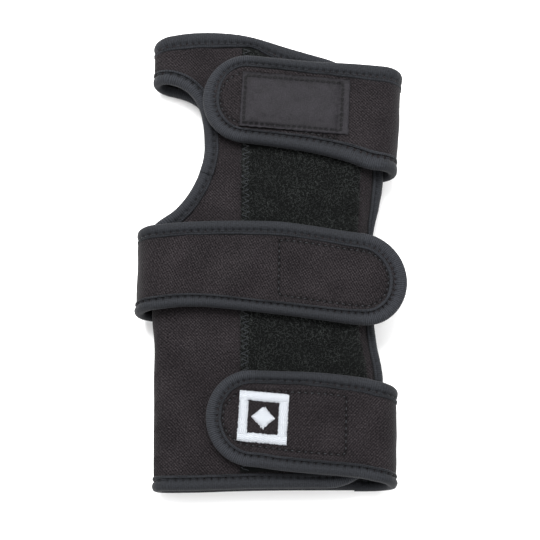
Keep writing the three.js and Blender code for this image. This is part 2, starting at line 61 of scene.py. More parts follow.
# %% Sizes of the cloth, the tape and the straps
LENGTH, WIDTH, PANEL = 224, 110.5, 3
HOLLOW, WRIST_HOLLOW = 11, 9  # clear height between the layers, at the ends and at the wrist
FOLD_DEPTH, WAIST = 8, 5.4  # how far the round fold bulges, how far the sides are drawn in
FREE_DROOP, OPEN_DROOP = 5.8, 8.2  # the free edge hangs this far, under and between the straps
FREE_DROOP_REACH = 12.5  # and does so over this width
CORNER, BACK_SHORT = 24, 10  # the corners' radius, how much narrower the lower layer is
LIFT_MARGIN, LIFT_SLOPE = 3, 64  # the panel climbs over the root of the wrist strap
TAPE, TAPE_WIDTH, TAPE_GAP, GAP = 0.7, 5.6, 0.4, 0.3
LOOP, HOOK, HOOK_INSET = 1.6, 1.2, 1.5
LOOP_LEFT, LOOP_TO_TAPE = 43.2, 0.8  # the pile's distance from the left side and from the tape
WEB_HEIGHT = 20  # the cloth between the thumb hole and the finger end
THUMB_REACH, THUMB_HEIGHT, THUMB_DEEPEST = 28.5, 74.4, 0.53
THUMB_UPPER_ROUND, THUMB_LOWER_ROUND = 2.8, 1.7
WEB_TURN, WEB_TILT = 4.5, 0.18  # the hole's far edge on the lower leg
STRAP_WIDTH, TIP, STRAP_FOLD_DEPTH = 44, 21, 9
WRIST_STRAP_CLEAR, WRIST_STRAP_ROOT, ROOT_SEAT = 5.3, 74, 18
HALF = PANEL / 2
EDGE = TAPE_GAP + TAPE
BOUND = HALF + EDGE
LIFT = 2 * BOUND + GAP
STANDOFF = HALF + GAP + LOOP + GAP + HOOK + GAP + HALF
LEFT = -WIDTH / 2
WRIST_STATION = 0.455

# The end edges: (share of the way round the cloth from fold to free edge, share of LENGTH).
FINGER_EDGE = [(-0.1, 0.993), (0, 0.984), (0.1, 0.993), (0.2, 1), (0.34, 1), (0.46, 0.991),
               (0.63, 0.963), (0.82, 0.934), (1, 0.91)]
FOREARM_EDGE = [(0, 0), (0.2, 0.001), (0.5, 0.005), (1, 0.006)]
# How far the sides are drawn in: (share of LENGTH, share of WAIST).
FREE_SIDE = [(0, 0.3), (0.11, 0.38), (0.235, 0.27), (0.306, 0.77), (0.36, 0.99), (0.54, 0.95),
             (0.61, 0.34), (0.664, -0.05), (0.8, -0.1), (1, 0)]
FOLD_SIDE = [(0, 0.6), (0.11, 0.5), (0.235, 0.5), (0.306, 0.49), (0.36, 0.34), (0.54, 0.22),
             (0.61, 0.14), (0.664, 0.08), (0.8, 0), (1, 0)]
print("a bound edge is", 2 * BOUND, "mm thick; a strap lies", STANDOFF, "mm above the panel")

# %% [markdown]
# ## Smooth curves from short tables
# An edge of the real cloth is one smooth curve. A few measured points and a curve through them say
# it better than a long list would. `ease` is used wherever the cloth climbs over something, and
# `waves` gives every surface the unevenness of padding.


# %% Curves
WAVE_TRAINS = 10  # so many plain waves, each its own way, add up to an uneven surface


def through(rows):
    """A smooth function through (key, value) rows, flat beyond its ends."""
    keys, values = (np.array(column, float) for column in zip(*rows))
    before = np.maximum(np.arange(len(keys)) - 1, 0)
    after = np.minimum(np.arange(len(keys)) + 1, len(keys) - 1)
    slopes = (values[after] - values[before]) / (keys[after] - keys[before])

    def at(key):
        i = np.clip(np.searchsorted(keys, key, side="right") - 1, 0, len(keys) - 2)
        step = keys[i + 1] - keys[i]
        t = np.clip((key - keys[i]) / step, 0, 1)
        rest = 1 - t
        return (values[i] * (1 + 2 * t) * rest**2 + slopes[i] * step * t * rest**2
                + values[i + 1] * (3 - 2 * t) * t**2 - slopes[i + 1] * step * rest * t**2)

    return at


def ease(t):
    """From 0 to 1 by two parabolas."""
    c = np.clip(t, 0, 1)
    return np.where(c < 0.5, 2 * c**2, 1 - 2 * (1 - c) ** 2)


def station(share):
    """y at a share of the length, from the forearm end."""
    return (share - 0.5) * LENGTH


def waves(x, y, seed, size):
    """Soft uneven waves about `size` across, between about -1 and 1."""
    draw = np.random.default_rng(seed)
    total = np.zeros(np.broadcast(x, y).shape)
    for _ in range(WAVE_TRAINS):
        turn, start = draw.uniform(0, TAU, 2)
        pitch = size * draw.uniform(0.7, 1.6)
        total += np.sin((x * math.cos(turn) + y * math.sin(turn)) * TAU / pitch + start)
    return total / math.sqrt(WAVE_TRAINS)


draw_free, draw_fold = through(FREE_SIDE), through(FOLD_SIDE)
finger_edge, forearm_edge = through(FINGER_EDGE), through(FOREARM_EDGE)


def lifted(y):
    """1 over the wrist strap's root, and falling to 0 away from it."""
    away = np.abs(y - station(WRIST_STATION)) - (STRAP_WIDTH / 2 + LIFT_MARGIN)
    return ease(1 - away / LIFT_SLOPE)


def back_level(y):
    return BOUND + LIFT * lifted(y)


def front_level(y):
    return back_level(y) + PANEL + HOLLOW + (WRIST_HOLLOW - HOLLOW) * lifted(y)


def fold_x(y):
    return LEFT + EDGE + WAIST * draw_fold(y / LENGTH + 0.5)


def free_x(y):
    return LEFT + WIDTH - EDGE - WAIST * draw_free(y / LENGTH + 0.5)


BACK_X = LEFT + WIDTH - EDGE - BACK_SHORT
print("the upper layer lies", np.round(front_level(np.array([-100.0, 0, 100])), 1), "mm up")

# %% [markdown]
# ## Folding
# Padded cloth doesn't crease like paper. Where it doubles back it makes a round fold, and its two
# legs run on nearly flat. A place on the cloth is named by `s`, the distance from the fold measured
# round the cloth (negative on the lower leg), by `y`, and by `out`, how far it lies off the middle
# of the cloth's thickness. `point` turns those three into a place in space.

# %% Folded cloth
PROBE = 0.05  # the cloth's slope is taken over this distance to each side


class FoldedCloth:
    """A fold at x = edge(y), which bulges by depth, and two legs at the heights low and high, which
    run on to the side that towards gives, 1 or -1. shift moves the legs up or down."""

    def __init__(self, edge, depth, low, high, towards, shift=None):
        self.edge, self.depth, self.low, self.high = edge, depth, low, high
        self.towards, self.shift = towards, shift

    def quarter(self, y):
        """The way round the cloth from the fold's middle to the start of a leg."""
        rise = (self.high(y) - self.low(y)) / 2
        return math.pi / 2 * np.sqrt((self.depth**2 + rise**2) / 2)

    def middle(self, s, y):
        q = self.quarter(y)
        turn = np.clip(s / q, -1, 1) * math.pi / 2
        beyond = np.maximum(0, np.abs(s) - q)
        rise = (self.high(y) - self.low(y)) / 2
        x = self.edge(y) + self.towards * (self.depth * (1 - np.cos(turn)) + beyond)
        z = self.low(y) + rise + rise * np.sin(turn)
        if self.shift:
            z = z + self.shift(s, x, y)
        return np.stack([x, y + 0 * x, z], axis=-1)

    def normal(self, s, y):
        along = self.middle(s + PROBE, y) - self.middle(s - PROBE, y)
        across = self.middle(s, y + PROBE) - self.middle(s, y - PROBE)
        normal = np.cross(along, across) * self.towards
        return normal / np.linalg.norm(normal, axis=-1, keepdims=True)

    def point(self, s, y, out):
        return self.middle(s, y) + self.normal(s, y) * np.asarray(out)[..., None]

    def upper(self, x, y):
        """The place on the upper leg that lies at x."""
        return self.quarter(y) + self.towards * (x - self.edge(y)) - self.depth

    def lower(self, x, y):
        return -self.upper(x, y)


free_drop = through([(-84, FREE_DROOP), (-64, OPEN_DROOP), (40, OPEN_DROOP), (60, FREE_DROOP)])


def droop(s, x, y):
    reach = np.maximum(0, 1 - (free_x(y) - x) / FREE_DROOP_REACH)
    return np.where(s > 0, -free_drop(y) * reach**2, 0)


panel_cloth = FoldedCloth(fold_x, FOLD_DEPTH, back_level, front_level, 1, droop)
print("fold to the upper layer's free edge:",
      round(float(panel_cloth.upper(free_x(0.0), 0.0)), 1), "mm round the cloth")

# %% [markdown]
# ## From a flat grid to a sewn piece
# `sew` does the same four things for every piece. It makes a flat grid with Blender's own grid
# operator, and extrudes it, so that it has an inner and an outer face. It asks the piece's own
# function where each corner goes. It keeps the flat place of each corner as the UV map, in
# millimetres, so that a weave later follows the cloth round its folds. At last it recalculates the
# normals, so that every face looks outwards.
#
# A tube is such a grid too, without the extrusion: its first and last rows meet and are welded.
# `marks` are numbers that the mesh carries for its material. One of them is painted shade: 1 in
# a needle's hole, and less in a seam's groove and along edges where shadow falls. `bend` says how
# tightly a tape is led round.


# %% Sewing a grid
SHARP = math.radians(60)  # a cut edge of cloth is sharper than this, a swell isn't


def sew(name, columns, rows, shape, materials, cut=None, tube=False, marks=None):
    """A grid of columns by rows faces. shape(i, j, w) gives points and flat places for column i and
    row j; w is 0 on the inner face and 1 on the outer. cut(bm) may change the flat grid before."""
    bm = bmesh.new()
    bmesh.ops.create_grid(bm, x_segments=columns, y_segments=rows, size=0.5)
    for vert in bm.verts:
        vert.co = ((vert.co.x + 0.5) * columns, (vert.co.y + 0.5) * rows, 0)
    if cut:
        cut(bm)
    if not tube:
        made = bmesh.ops.extrude_face_region(bm, geom=bm.faces[:], use_keep_orig=True)
        raised = [g for g in made["geom"] if isinstance(g, bmesh.types.BMVert)]
        bmesh.ops.translate(bm, verts=raised, vec=(0, 0, 1))
    mesh = bpy.data.meshes.new(name)
    bm.to_mesh(mesh)
    bm.free()
    numbers = np.empty(3 * len(mesh.vertices))
    mesh.vertices.foreach_get("co", numbers)
    i, j, w = numbers.reshape(-1, 3).T
    points, flat = shape(i, j, w)
    mesh.vertices.foreach_set("co", ((points + PART_MIDDLE) * MM).ravel())
    corner = np.empty(len(mesh.loops), np.int32)
    mesh.loops.foreach_get("vertex_index", corner)
    mesh.uv_layers.new(name="cloth").data.foreach_set("uv", flat[corner].ravel())
    for mark, value in (marks or {}).items():
        mesh.attributes.new(mark, "FLOAT", "POINT").data.foreach_set("value", value(i, j, w))
    if len(materials) > 1:  # the second one is for the face that looks inside
        inner = w[corner].reshape(-1, 4).max(axis=1) < 0.5
        mesh.polygons.foreach_set("material_index", inner.astype(np.int32))
    bm = bmesh.new()
    bm.from_mesh(mesh)
    if tube:
        bmesh.ops.remove_doubles(bm, verts=bm.verts[:], dist=1e-7)
        ends = [edge for edge in bm.edges if edge.is_boundary]
        bmesh.ops.holes_fill(bm, edges=ends, sides=0)
    bmesh.ops.recalc_face_normals(bm, faces=bm.faces[:])
    bm.to_mesh(mesh)
    bm.free()
    mesh.polygons.foreach_set("use_smooth", np.ones(len(mesh.polygons), bool))
    mesh.set_sharp_from_angle(angle=SHARP)
    for material in materials:
        mesh.materials.append(material)
    piece = bpy.data.objects.new(name, mesh)
    bpy.context.scene.collection.objects.link(piece)
    print(f"{name}: {len(mesh.polygons)} faces")
    return piece


# %% [markdown]
# ## Writing materials as sums
# A weave is easiest to say as arithmetic: so many threads to the millimetre, and a little noise to
# bend them. This small class wraps the output of a node and lets us write such sums directly, and
# `node` adds any other node: its settings come first, then its values or links.


# %% Node helpers
class Wire:
    """The output of a node. Arithmetic on it adds Math nodes."""

    def __init__(self, finish, socket):
        self.finish, self.socket = finish, socket

    def math(self, operation, *others, first=False):
        values = [*others, self] if first else [self, *others]
        return self.finish.node("ShaderNodeMath", {"operation": operation}, dict(enumerate(values)))

    def __add__(self, other):
        return self.math("ADD", other)

    def __sub__(self, other):
        return self.math("SUBTRACT", other)

    def __rsub__(self, other):
        return self.math("SUBTRACT", other, first=True)

    def __mul__(self, other):
        return self.math("MULTIPLY", other)

    def __truediv__(self, other):
        return self.math("DIVIDE", other)

    def __rtruediv__(self, other):
        return self.math("DIVIDE", other, first=True)

    def __pow__(self, other):
        return self.math("POWER", other)

    __radd__, __rmul__ = __add__, __mul__


class Finish:
    """A material with one Principled shader, whose constant inputs are set at once."""

    def __init__(self, name, **constants):
        self.material = bpy.data.materials.new(name)
        self.material.use_nodes = True
        self.tree = self.material.node_tree
        self.shader = self.tree.nodes["Principled BSDF"]
        for key, value in constants.items():
            self.shader.inputs[key.replace("_", " ")].default_value = value

    def node(self, kind, settings, inputs, output=0):
        made = self.tree.nodes.new(kind)
        for key, value in settings.items():
            setattr(made, key, value)
        for key, value in inputs.items():
            if isinstance(value, Wire):
                self.tree.links.new(value.socket, made.inputs[key])
            else:
                made.inputs[key].default_value = value
        return Wire(self, made.outputs[output])

    def flat_place(self):
        """The place on the flat cloth in millimetres: (vector, u, v)."""
        place = self.node("ShaderNodeUVMap", {"uv_map": "cloth"}, {})
        parts = self.node("ShaderNodeSeparateXYZ", {}, {0: place})
        return place, parts, Wire(self, parts.socket.node.outputs[1])

    def noise(self, place, scale, detail=2.0, roughness=0.5):
        inputs = {"Vector": place, "Scale": scale, "Detail": detail, "Roughness": roughness}
        return self.node("ShaderNodeTexNoise", {}, inputs)

    def mix(self, factor, low, high):
        inputs = {0: factor, 6: low, 7: high}
        return self.node("ShaderNodeMix", {"data_type": "RGBA"}, inputs, output=2)

    def spread(self, value, low, high, to_low=0.0, to_high=1.0):
        inputs = {0: value, 1: low, 2: high, 3: to_low, 4: to_high}
        return self.node("ShaderNodeMapRange", {}, inputs)

    def mark(self, name):
        return self.node("ShaderNodeAttribute", {"attribute_name": name}, {}, output=2)

    def ripple(self, value, pitch, bent=0.0):
        """A wave between 0 and 1 that comes back every `pitch` millimetres."""
        return (value * (TAU / pitch) + bent).math("SINE") * 0.5 + 0.5

    def with_painted_shade(self, colour):
        """The colour, darkened towards black by the painted shade that the mesh's mark carries."""
        return self.mix(self.mark("painted_shade") * 0.9, colour, PAINTED_SHADE_BLACK)

    def paint(self, colour, roughness, height, depth, strength):
        """Colour, roughness and a bump `depth` millimetres deep into the shader."""
        bump = self.node("ShaderNodeBump", {}, {"Strength": strength, "Distance": depth * MM,
                                                "Height": height})
        for key, value in (("Base Color", colour), ("Roughness", roughness), ("Normal", bump)):
            self.tree.links.new(value.socket, self.shader.inputs[key])
        return self.material


def srgb(red, green, blue):
    """A colour as a screen shows it, 0 to 255, in linear light."""
    shares = [c / 255 for c in (red, green, blue)]
    return [c / 12.92 if c <= 0.04045 else ((c + 0.055) / 1.055) ** 2.4 for c in shares] + [1]


# The near-black that painted shade goes to, in holes, seam grooves and shadow lines.
PAINTED_SHADE_BLACK = srgb(1, 1, 1)
print("node helpers ready")

# %% [markdown]
# ## The twill face
# The outer face of the padded cloth is a fine twill, a brownish black. Twill shows slanting ribs,
# because each weft thread passes over two and under two, one step further in each row. The ribs are
# a sine wave across the slant, bent a little by noise. A second wave crosses it, where the threads
# dive under. Soft fuzz on the threads gives cloth its pale rim, and that is the sheen.
# The pieces were cut in several directions, so the slant, in degrees, is an input of the function.

# %% Twill
TWILL_PITCH, DIVE_PITCH = 1.05, 1.15  # from rib to rib, and from dive to dive
TWILL_DARK, TWILL_LIGHT = srgb(3, 2, 3), srgb(50, 46, 48)


def twill(name, slant):
    f = Finish(name, Sheen_Weight=0.03, Sheen_Roughness=0.5, Specular_IOR_Level=0.07)
    place, u, v = f.flat_place()
    bent = f.noise(place, 0.45, 3.0) * 3.2 + f.noise(place, 0.07) * 5.0
    angle = math.radians(slant)
    ribs = f.ripple(u * math.cos(angle) + v * math.sin(angle), TWILL_PITCH, bent)
    dives = f.ripple(u * math.sin(angle) - v * math.cos(angle), DIVE_PITCH, bent)
    weave = ribs * 0.68 + dives * 0.32
    lint = f.spread(f.noise(place, 1.25, 2.0, 0.75), 0.38, 0.64)
    patches = f.spread(f.noise(place, 0.06, 3.0), 0.3, 0.7)
    specks = f.spread(f.noise(place, 1.6, 1.0), 0.66, 0.76)
    shade = (weave * 0.38 + lint * 0.44 + patches * 0.16) ** 1.85 + specks * 0.4
    # Painted shade from the mesh's mark: a shadow along a strap's pad seam, darkest in its holes.
    colour = f.with_painted_shade(f.mix(shade, TWILL_DARK, TWILL_LIGHT))
    rough = f.spread(weave, 0.0, 1.0, 0.97, 0.84)
    return f.paint(colour, rough, weave * 0.42 + lint * 0.45, 0.12, 0.8)


twill_body = twill("twill_body", 42)
twill_strap = twill("twill_strap", 42)
twill_hand = twill("twill_hand_strap", -48)
twill_wrist = twill("twill_wrist_strap", 30)
print("twill:", twill_body.name, twill_strap.name, twill_hand.name, twill_wrist.name)

# %% [markdown]
# ## The binding tape
# The tape is a ribbed woven tape, bluish where the twill is brownish. Its ribs run across the tape.
# Where the tape is led round a tip it is gathered, and the ribs stand out, so their depth follows
# the attribute `bend`, which the tape's mesh carries.

# %% Tape
def tape_finish():
    f = Finish("tape", Sheen_Weight=0.03, Sheen_Roughness=0.4, Specular_IOR_Level=0.13)
    place, u, v = f.flat_place()
    bend = f.mark("bend")
    drift = f.noise(place, 0.5, 2.0)
    ribs = f.ripple(u, 0.98, drift * 3.0)
    threads = f.ripple(v, 0.5, drift * 4.0)
    lint = f.spread(f.noise(place, 1.3, 2.0, 0.7), 0.36, 0.66)
    depth = bend * 0.75 + 0.25
    shade = ribs * depth * 0.45 + lint * 0.4 + threads * 0.08
    # Painted shade from the mesh's mark: needle holes, the seam's groove, the inner edge's shadow.
    colour = f.with_painted_shade(f.mix(shade, srgb(10, 11, 13), srgb(48, 50, 55)))
    rough = f.spread(lint, 0.0, 1.0, 0.72, 0.88)
    return f.paint(colour, rough, ribs * depth + threads * 0.15 + lint * 0.25, 0.2, 0.9)


tape = tape_finish()
print("tape:", tape.name)

# %% [markdown]
# ## The label's satin
# Satin is woven so that most of the thread lies on top, which makes it smoother and glossier than
# twill. What tells it from plastic is a fine cross of warp and weft, and slow clouds where it was
# creased.

# %% Label satin
def satin_finish():
    f = Finish("satin", Sheen_Weight=0.01, Sheen_Roughness=0.35, Specular_IOR_Level=0.09)
    place, u, v = f.flat_place()
    drift = f.noise(place, 0.8, 2.0)
    warp = f.ripple(u, 0.42, drift * 2.5)
    weft = f.ripple(v, 0.55, drift * 2.5)
    clouds = f.spread(f.noise(place, 0.16, 3.0), 0.3, 0.7)
    speck = f.spread(f.noise(place, 1.7, 1.0), 0.35, 0.65)
    shade = warp * 0.2 + weft * 0.15 + clouds * 0.3 + speck * 0.35
    # Painted shade from the mesh's mark: stitches, the hollow by the seam, a shadow on the top hem.
    colour = f.with_painted_shade(f.mix(shade, srgb(4, 4, 5), srgb(42, 40, 44)))
    rough = f.spread(clouds, 0.0, 1.0, 0.52, 0.66)
    return f.paint(colour, rough, warp * 0.5 + weft * 0.5 + speck * 0.4, 0.09, 0.7)


satin = satin_finish()
print("label:", satin.name)

# %% [markdown]
# ## Threads
# Sewing thread is twisted from strands, so its light and dark bands run slantwise round it. That
# slant is a sum of the way along and the way round. `worn` sets how fine the uneven dye is.

# %% Sewing threads
TWIST = 0.9  # a strand goes once round in this many millimetres


def thread_finish(name, dark, light, worn=0.35):
    f = Finish(name, Sheen_Weight=0.03, Sheen_Roughness=0.35, Specular_IOR_Level=0.2)
    place, u, v = f.flat_place()
    strands = f.ripple(u / TWIST + v, 1.0)
    wear = f.spread(f.noise(place, worn, 2.0), 0.3, 0.7)
    colour = f.mix(strands * 0.5 + wear * 0.5, srgb(*dark), srgb(*light))
    rough = f.spread(wear, 0.0, 1.0, 0.48, 0.68)
    return f.paint(colour, rough, strands, 0.06, 0.7)


thread_black = thread_finish("thread_black", (6, 6, 8), (30, 31, 34))
thread_tape = thread_finish("thread_tape", (12, 13, 15), (44, 46, 50))
thread_charcoal = thread_finish("thread_charcoal", (16, 17, 19), (56, 59, 62))
thread_grey = thread_finish("thread_grey", (14, 15, 17), (50, 53, 56))
thread_white = thread_finish("thread_white", (112, 115, 124), (190, 194, 197), worn=0.9)
print("threads:", thread_black.name, thread_tape.name, thread_charcoal.name, thread_grey.name,
      thread_white.name)

# %% [markdown]
# ## Pile, lining and hooks
# Loop pile swallows light, so it is the blackest cloth here, and only the tops of its loops are
# paler. The lining is a black knit with a faint green cast. The hooks are moulded plastic and a
# little glossy, with dust on them.

# %% Pile, lining and hooks
def pile_finish(name, dark, light):
    f = Finish(name, Sheen_Weight=0.01, Sheen_Roughness=0.6, Specular_IOR_Level=0.08)
    place = f.flat_place()[0]
    tufts = f.spread(f.noise(place, 0.9, 3.0, 0.7), 0.35, 0.7)
    patches = f.spread(f.noise(place, 0.12, 2.0), 0.35, 0.65)
    colour = f.mix(tufts * 0.7 + patches * 0.3, srgb(*dark), srgb(*light))
    rough = f.spread(tufts, 0.0, 1.0, 0.8, 0.95)
    return f.paint(colour, rough, tufts, 0.4, 0.9)


def lining_finish():
    f = Finish("lining", Sheen_Weight=0.03, Sheen_Roughness=0.5, Specular_IOR_Level=0.12)
    place, u, v = f.flat_place()
    wales = (u * (TAU / 0.9)).math("SINE").math("ABSOLUTE")
    courses = f.ripple(v, 1.1, wales * 2.0)
    fuzz = f.spread(f.noise(place, 1.3, 2.0, 0.7), 0.35, 0.7)
    colour = f.mix(courses * 0.4 + fuzz * 0.6, srgb(6, 7, 6), srgb(26, 30, 27))
    rough = f.spread(fuzz, 0.0, 1.0, 0.85, 0.97)
    return f.paint(colour, rough, wales * 0.5 + courses * 0.5, 0.2, 0.8)


def hook_finish():
    f = Finish("hook_tape", Specular_IOR_Level=0.3)
    place, u, v = f.flat_place()
    rows = f.ripple(v, 1.2)
    hooks = f.ripple(u, 1.5)
    dust = f.spread(f.noise(place, 0.9, 3.0), 0.4, 0.7)
    colour = f.mix(dust, srgb(8, 8, 9), srgb(27, 28, 30))
    rough = f.spread(dust, 0.0, 1.0, 0.45, 0.8)
    return f.paint(colour, rough, rows * hooks, 0.8, 1.0)


pile_base = pile_finish("pile_base", (1, 2, 2), (8, 10, 9))
pile_loops = pile_finish("pile_loops", (6, 7, 7), (64, 67, 66))
lining = lining_finish()
hook_plastic = hook_finish()
print("pile, lining and hooks")

# %% [markdown]
# ## Edges to walk along
# Tape and stitches both follow an edge of the cloth. An edge is a list of places on the flat cloth,
# walked with the cloth on the left hand. `walk` spaces them evenly, and `inset` moves them into the
# cloth. How far a tape bites on the cloth may change on the way, which `wider` says in rows of
# (share of the way along, share of the usual width).


# %% Walking along an edge
EVEN = ((0, 1), (1, 1))
SOFTEN = 1.6  # a corner of the list is rounded over this length to each side
BEND_FULL = 24  # a turn of this radius or less, in millimetres, is the tightest: `bend` is 1
BEND_SPAN = 9  # `bend` is the mean over so many places
INSET_STEP = 1.0  # from one place of an inset path to the next


def evenly(edge, step):
    """Evenly spaced places along an edge, and how far along each lies."""
    edge = np.asarray(edge, float)
    pieces = np.linalg.norm(np.diff(edge, axis=0), axis=1)
    edge = edge[np.concatenate([[True], pieces > 1e-6])]
    far = np.concatenate([[0], np.cumsum(np.linalg.norm(np.diff(edge, axis=0), axis=1))])
    along = np.linspace(0, far[-1], max(2, int(round(far[-1] / step))) + 1)
    return np.stack([np.interp(along, far, edge[:, k]) for k in (0, 1)], axis=1), along


def walk(edge, step):
    """Evenly spaced places along an edge, the way inwards at each, how far along, and how bent."""
    places, along = evenly(edge, step)
    soften = max(1, int(round(SOFTEN / step)))
    padded = np.pad(places, ((soften, soften), (0, 0)), mode="reflect", reflect_type="odd")
    kernel = np.ones(2 * soften + 1) / (2 * soften + 1)
    smooth = np.stack([np.convolve(padded[:, k], kernel, mode="valid") for k in (0, 1)], axis=1)
    smooth[0], smooth[-1] = places[0], places[-1]
    run = np.gradient(smooth, axis=0)
    run /= np.linalg.norm(run, axis=1, keepdims=True)
    inwards = np.stack([-run[:, 1], run[:, 0]], axis=1)
    turn = np.linalg.norm(np.gradient(run, axis=0), axis=1) / (along[1] - along[0])
    span = np.ones(BEND_SPAN) / BEND_SPAN
    bent = np.convolve(np.pad(turn, BEND_SPAN // 2, mode="edge"), span, mode="valid")
    return smooth, inwards, along, np.clip(bent * BEND_FULL, 0, 1)


def inset(edge, amount, wider=EVEN):
    """The edge moved `amount` into the cloth."""
    places, inwards, along, _ = walk(edge, INSET_STEP)
    return places + inwards * amount * through(wider)(along / along[-1])[:, None]


print("an edge is softened over", 2 * SOFTEN, "mm")

# %% [markdown]
# ## Tape over an edge
# The section of a bound edge, read from the photograph: round the edge the tape stands in a soft
# bulge, then the seam pulls it down in a groove, and behind the seam the turned-under edge of the
# tape makes a thin ridge. The stitches pull the groove deeper at every hole and pucker the tape
# between them. Each pair is (distance inwards from the cloth's edge, distance off its middle).

# %% Binding
STITCH = 3.3  # from one needle hole to the next
SEAM = 4.1  # the seam lies this far inside the cloth's edge
TAPE_STEP = 0.64  # from one column of the tape's grid to the next
TAPE_SEWN, TAPE_WALL = 0.55, 0.5  # how deep a stitch pulls, and how thick the tape is
HALF_SECTION = [(5.95, 1.35), (5.84, 1.62), (5.56, 2.2), (5.3, 2.46), (5.05, 2.28), (4.85, 1.9),
                (4.5, 1.62), (4.05, 1.56), (3.6, 1.66), (3.2, 2.0), (2.75, 2.42), (2.05, 2.74),
                (1.2, 2.84), (0.4, 2.66), (-0.35, 2.15), (-0.85, 1.4), (-1.1, 0.5)]
SECTION = np.array(HALF_SECTION + [(inward, -out) for inward, out in reversed(HALF_SECTION)])
GROOVE_AT, RIDGE_AT, BULGE_AT = 7.0, 3.0, 11.0  # places in HALF_SECTION
section_run = np.gradient(SECTION, axis=0)
section_out = np.stack([section_run[:, 1], -section_run[:, 0]], axis=1)
section_out /= np.linalg.norm(section_out, axis=1, keepdims=True)
section_out *= np.sign((section_out * (SECTION - [3, 0])).sum(axis=1, keepdims=True))
section_far = np.concatenate(
    [[0], np.cumsum(np.linalg.norm(np.diff(SECTION, axis=0), axis=1))])


def bind(name, cloth, edge, seed, lap=0.0, wider=EVEN):
    """A tape along an edge. Over the last `lap` millimetres it lies on its own beginning."""
    places, inwards, along, bent = walk(edge, TAPE_STEP)
    broad = through(wider)(along / along[-1])
    last = len(SECTION) - 1
    lumps = np.random.default_rng(seed).normal(0, 1, (len(along) + 8, 3))
    lumps = np.stack([np.convolve(lumps[:, k], np.ones(9) / 3, mode="valid") for k in range(3)], 1)

    def shape(i, j, w):
        k, row = np.rint(i).astype(int), np.rint(j).astype(int)
        side = np.minimum(row, last - row)
        stitch = 0.5 + 0.5 * np.cos(TAU * along[k] / STITCH)
        groove = np.exp(-(((side - GROOVE_AT) / 1.6) ** 2))
        ridge = np.exp(-(((side - RIDGE_AT) / 1.5) ** 2))
        bulge = np.exp(-(((side - BULGE_AT) / 2.6) ** 2))
        rise = (-TAPE_SEWN * stitch**4 * groove + ridge * (0.07 * lumps[k, 0] - 0.12 * stitch)
                + bulge * (0.07 * lumps[k, 1] - (0.1 + 0.12 * bent[k]) * stitch))
        rise = rise * np.where(side > 0, 1, 0) * w
        wall = np.where(w > 0.5, 0, -TAPE_WALL)
        spot = SECTION[row] + section_out[row] * (rise + wall)[:, None]
        inward, out = spot.T
        out = out * (1 - 0.2 * np.exp(-((places[k, 0] / 7) ** 2)))  # drawn flat over the fold
        inward = inward + 0.08 * lumps[k, 2] * np.exp(-(((side - 2.0) / 2.5) ** 2))
        if lap:  # the end of a closed tape lies over its beginning
            over = ease((along[k] - (along[-1] - lap)) / 1.2)
            out = out + np.sign(out) * (TAPE_WALL + 0.05) * over
        inward = np.where(inward > 0, inward * broad[k], inward)
        s = places[k, 0] + inwards[k, 0] * inward
        y = places[k, 1] + inwards[k, 1] * inward
        out = np.where(s < 0, np.minimum(out, BOUND), out)  # the table presses the lower leg flat
        return cloth.point(s, y, out), np.stack([along[k], section_far[row]], axis=1)

    def bend(i, j, w):
        return bent[np.rint(i).astype(int)]

    # Painted shade: needle holes, a little in the seam's groove, a shadow line at the inner edge.
    def painted_shade(i, j, w):
        side = np.minimum(j, last - j)
        stitch = 0.5 + 0.5 * np.cos(TAU * along[np.rint(i).astype(int)] / STITCH)
        groove = np.exp(-(((side - GROOVE_AT) / 1.9) ** 2))
        return np.clip(groove * (0.06 + stitch**4) + np.where(side < 1.5, 0.9, 0), 0, 1)

    return sew(name, len(along) - 1, last, shape, [tape], marks={"bend": bend, "painted_shade": painted_shade})


print("tape section:", len(SECTION), "corners,", round(float(section_far[-1]), 1), "mm round")

# %% [markdown]
# ## Thread
# A machine stitch lies on the cloth and dives through it at every hole. One long thin tube does
# that: it follows the seam, and a wave takes it down between the stitches.


# %% Threads
SEAM_STEP = 0.4  # from one point of a seam's thread to the next
THREAD = 0.17  # a sewing thread's radius
SEAM_HEIGHT, SEAM_DIVE = 1.84, 0.75  # a tape's thread over its cloth's middle, and how far it dips


def tube(name, line, up, flat, material, radius=THREAD, sides=5):
    """A thin tube along a line of points; `flat` is each point's place on the UV map."""
    run = np.gradient(line, axis=0)
    run /= np.maximum(1e-6, np.linalg.norm(run, axis=1, keepdims=True))
    side = np.cross(run, up)
    side /= np.maximum(1e-6, np.linalg.norm(side, axis=1, keepdims=True))
    up = np.cross(side, run)

    def shape(i, j, w):
        k = np.rint(i).astype(int)
        turn = TAU * np.rint(j).astype(int) / sides
        round_it = np.cos(turn)[:, None] * up[k] + np.sin(turn)[:, None] * side[k]
        return line[k] + radius * round_it, flat[k] + np.stack([0 * turn, turn / TAU], axis=1)

    return sew(name, len(line) - 1, sides, shape, [material], tube=True)


def thread(name, cloth, places, along, height, material, radius=THREAD, wander=0.06):
    """A thread at a height off the cloth's middle; no seam is quite straight, so it wanders."""
    jitter = np.random.default_rng(len(along)).normal(0, wander, places.shape)
    s, y = (places + jitter).T
    return tube(name, cloth.point(s, y, height), cloth.normal(s, y),
                np.stack([along, 0 * along], axis=1), material, radius)


def dive(along, pitch, sharp):
    """1 where the needle went in and 0 between the holes."""
    return np.abs(np.cos(math.pi * along / pitch)) ** sharp


def tape_seam(name, cloth, edge, face, wider=EVEN):
    """The seam on one face of a tape: face is 1 for the outer one and -1 for the inner one."""
    places, inwards, along, _ = walk(edge, SEAM_STEP)
    places = places + inwards * SEAM * through(wider)(along / along[-1])[:, None]
    height = face * (SEAM_HEIGHT - SEAM_DIVE * dive(along, STITCH, 4))
    return thread(name, cloth, places, along, height, thread_tape)


print("stitches are", STITCH, "mm long and lie", SEAM, "mm inside the edge")

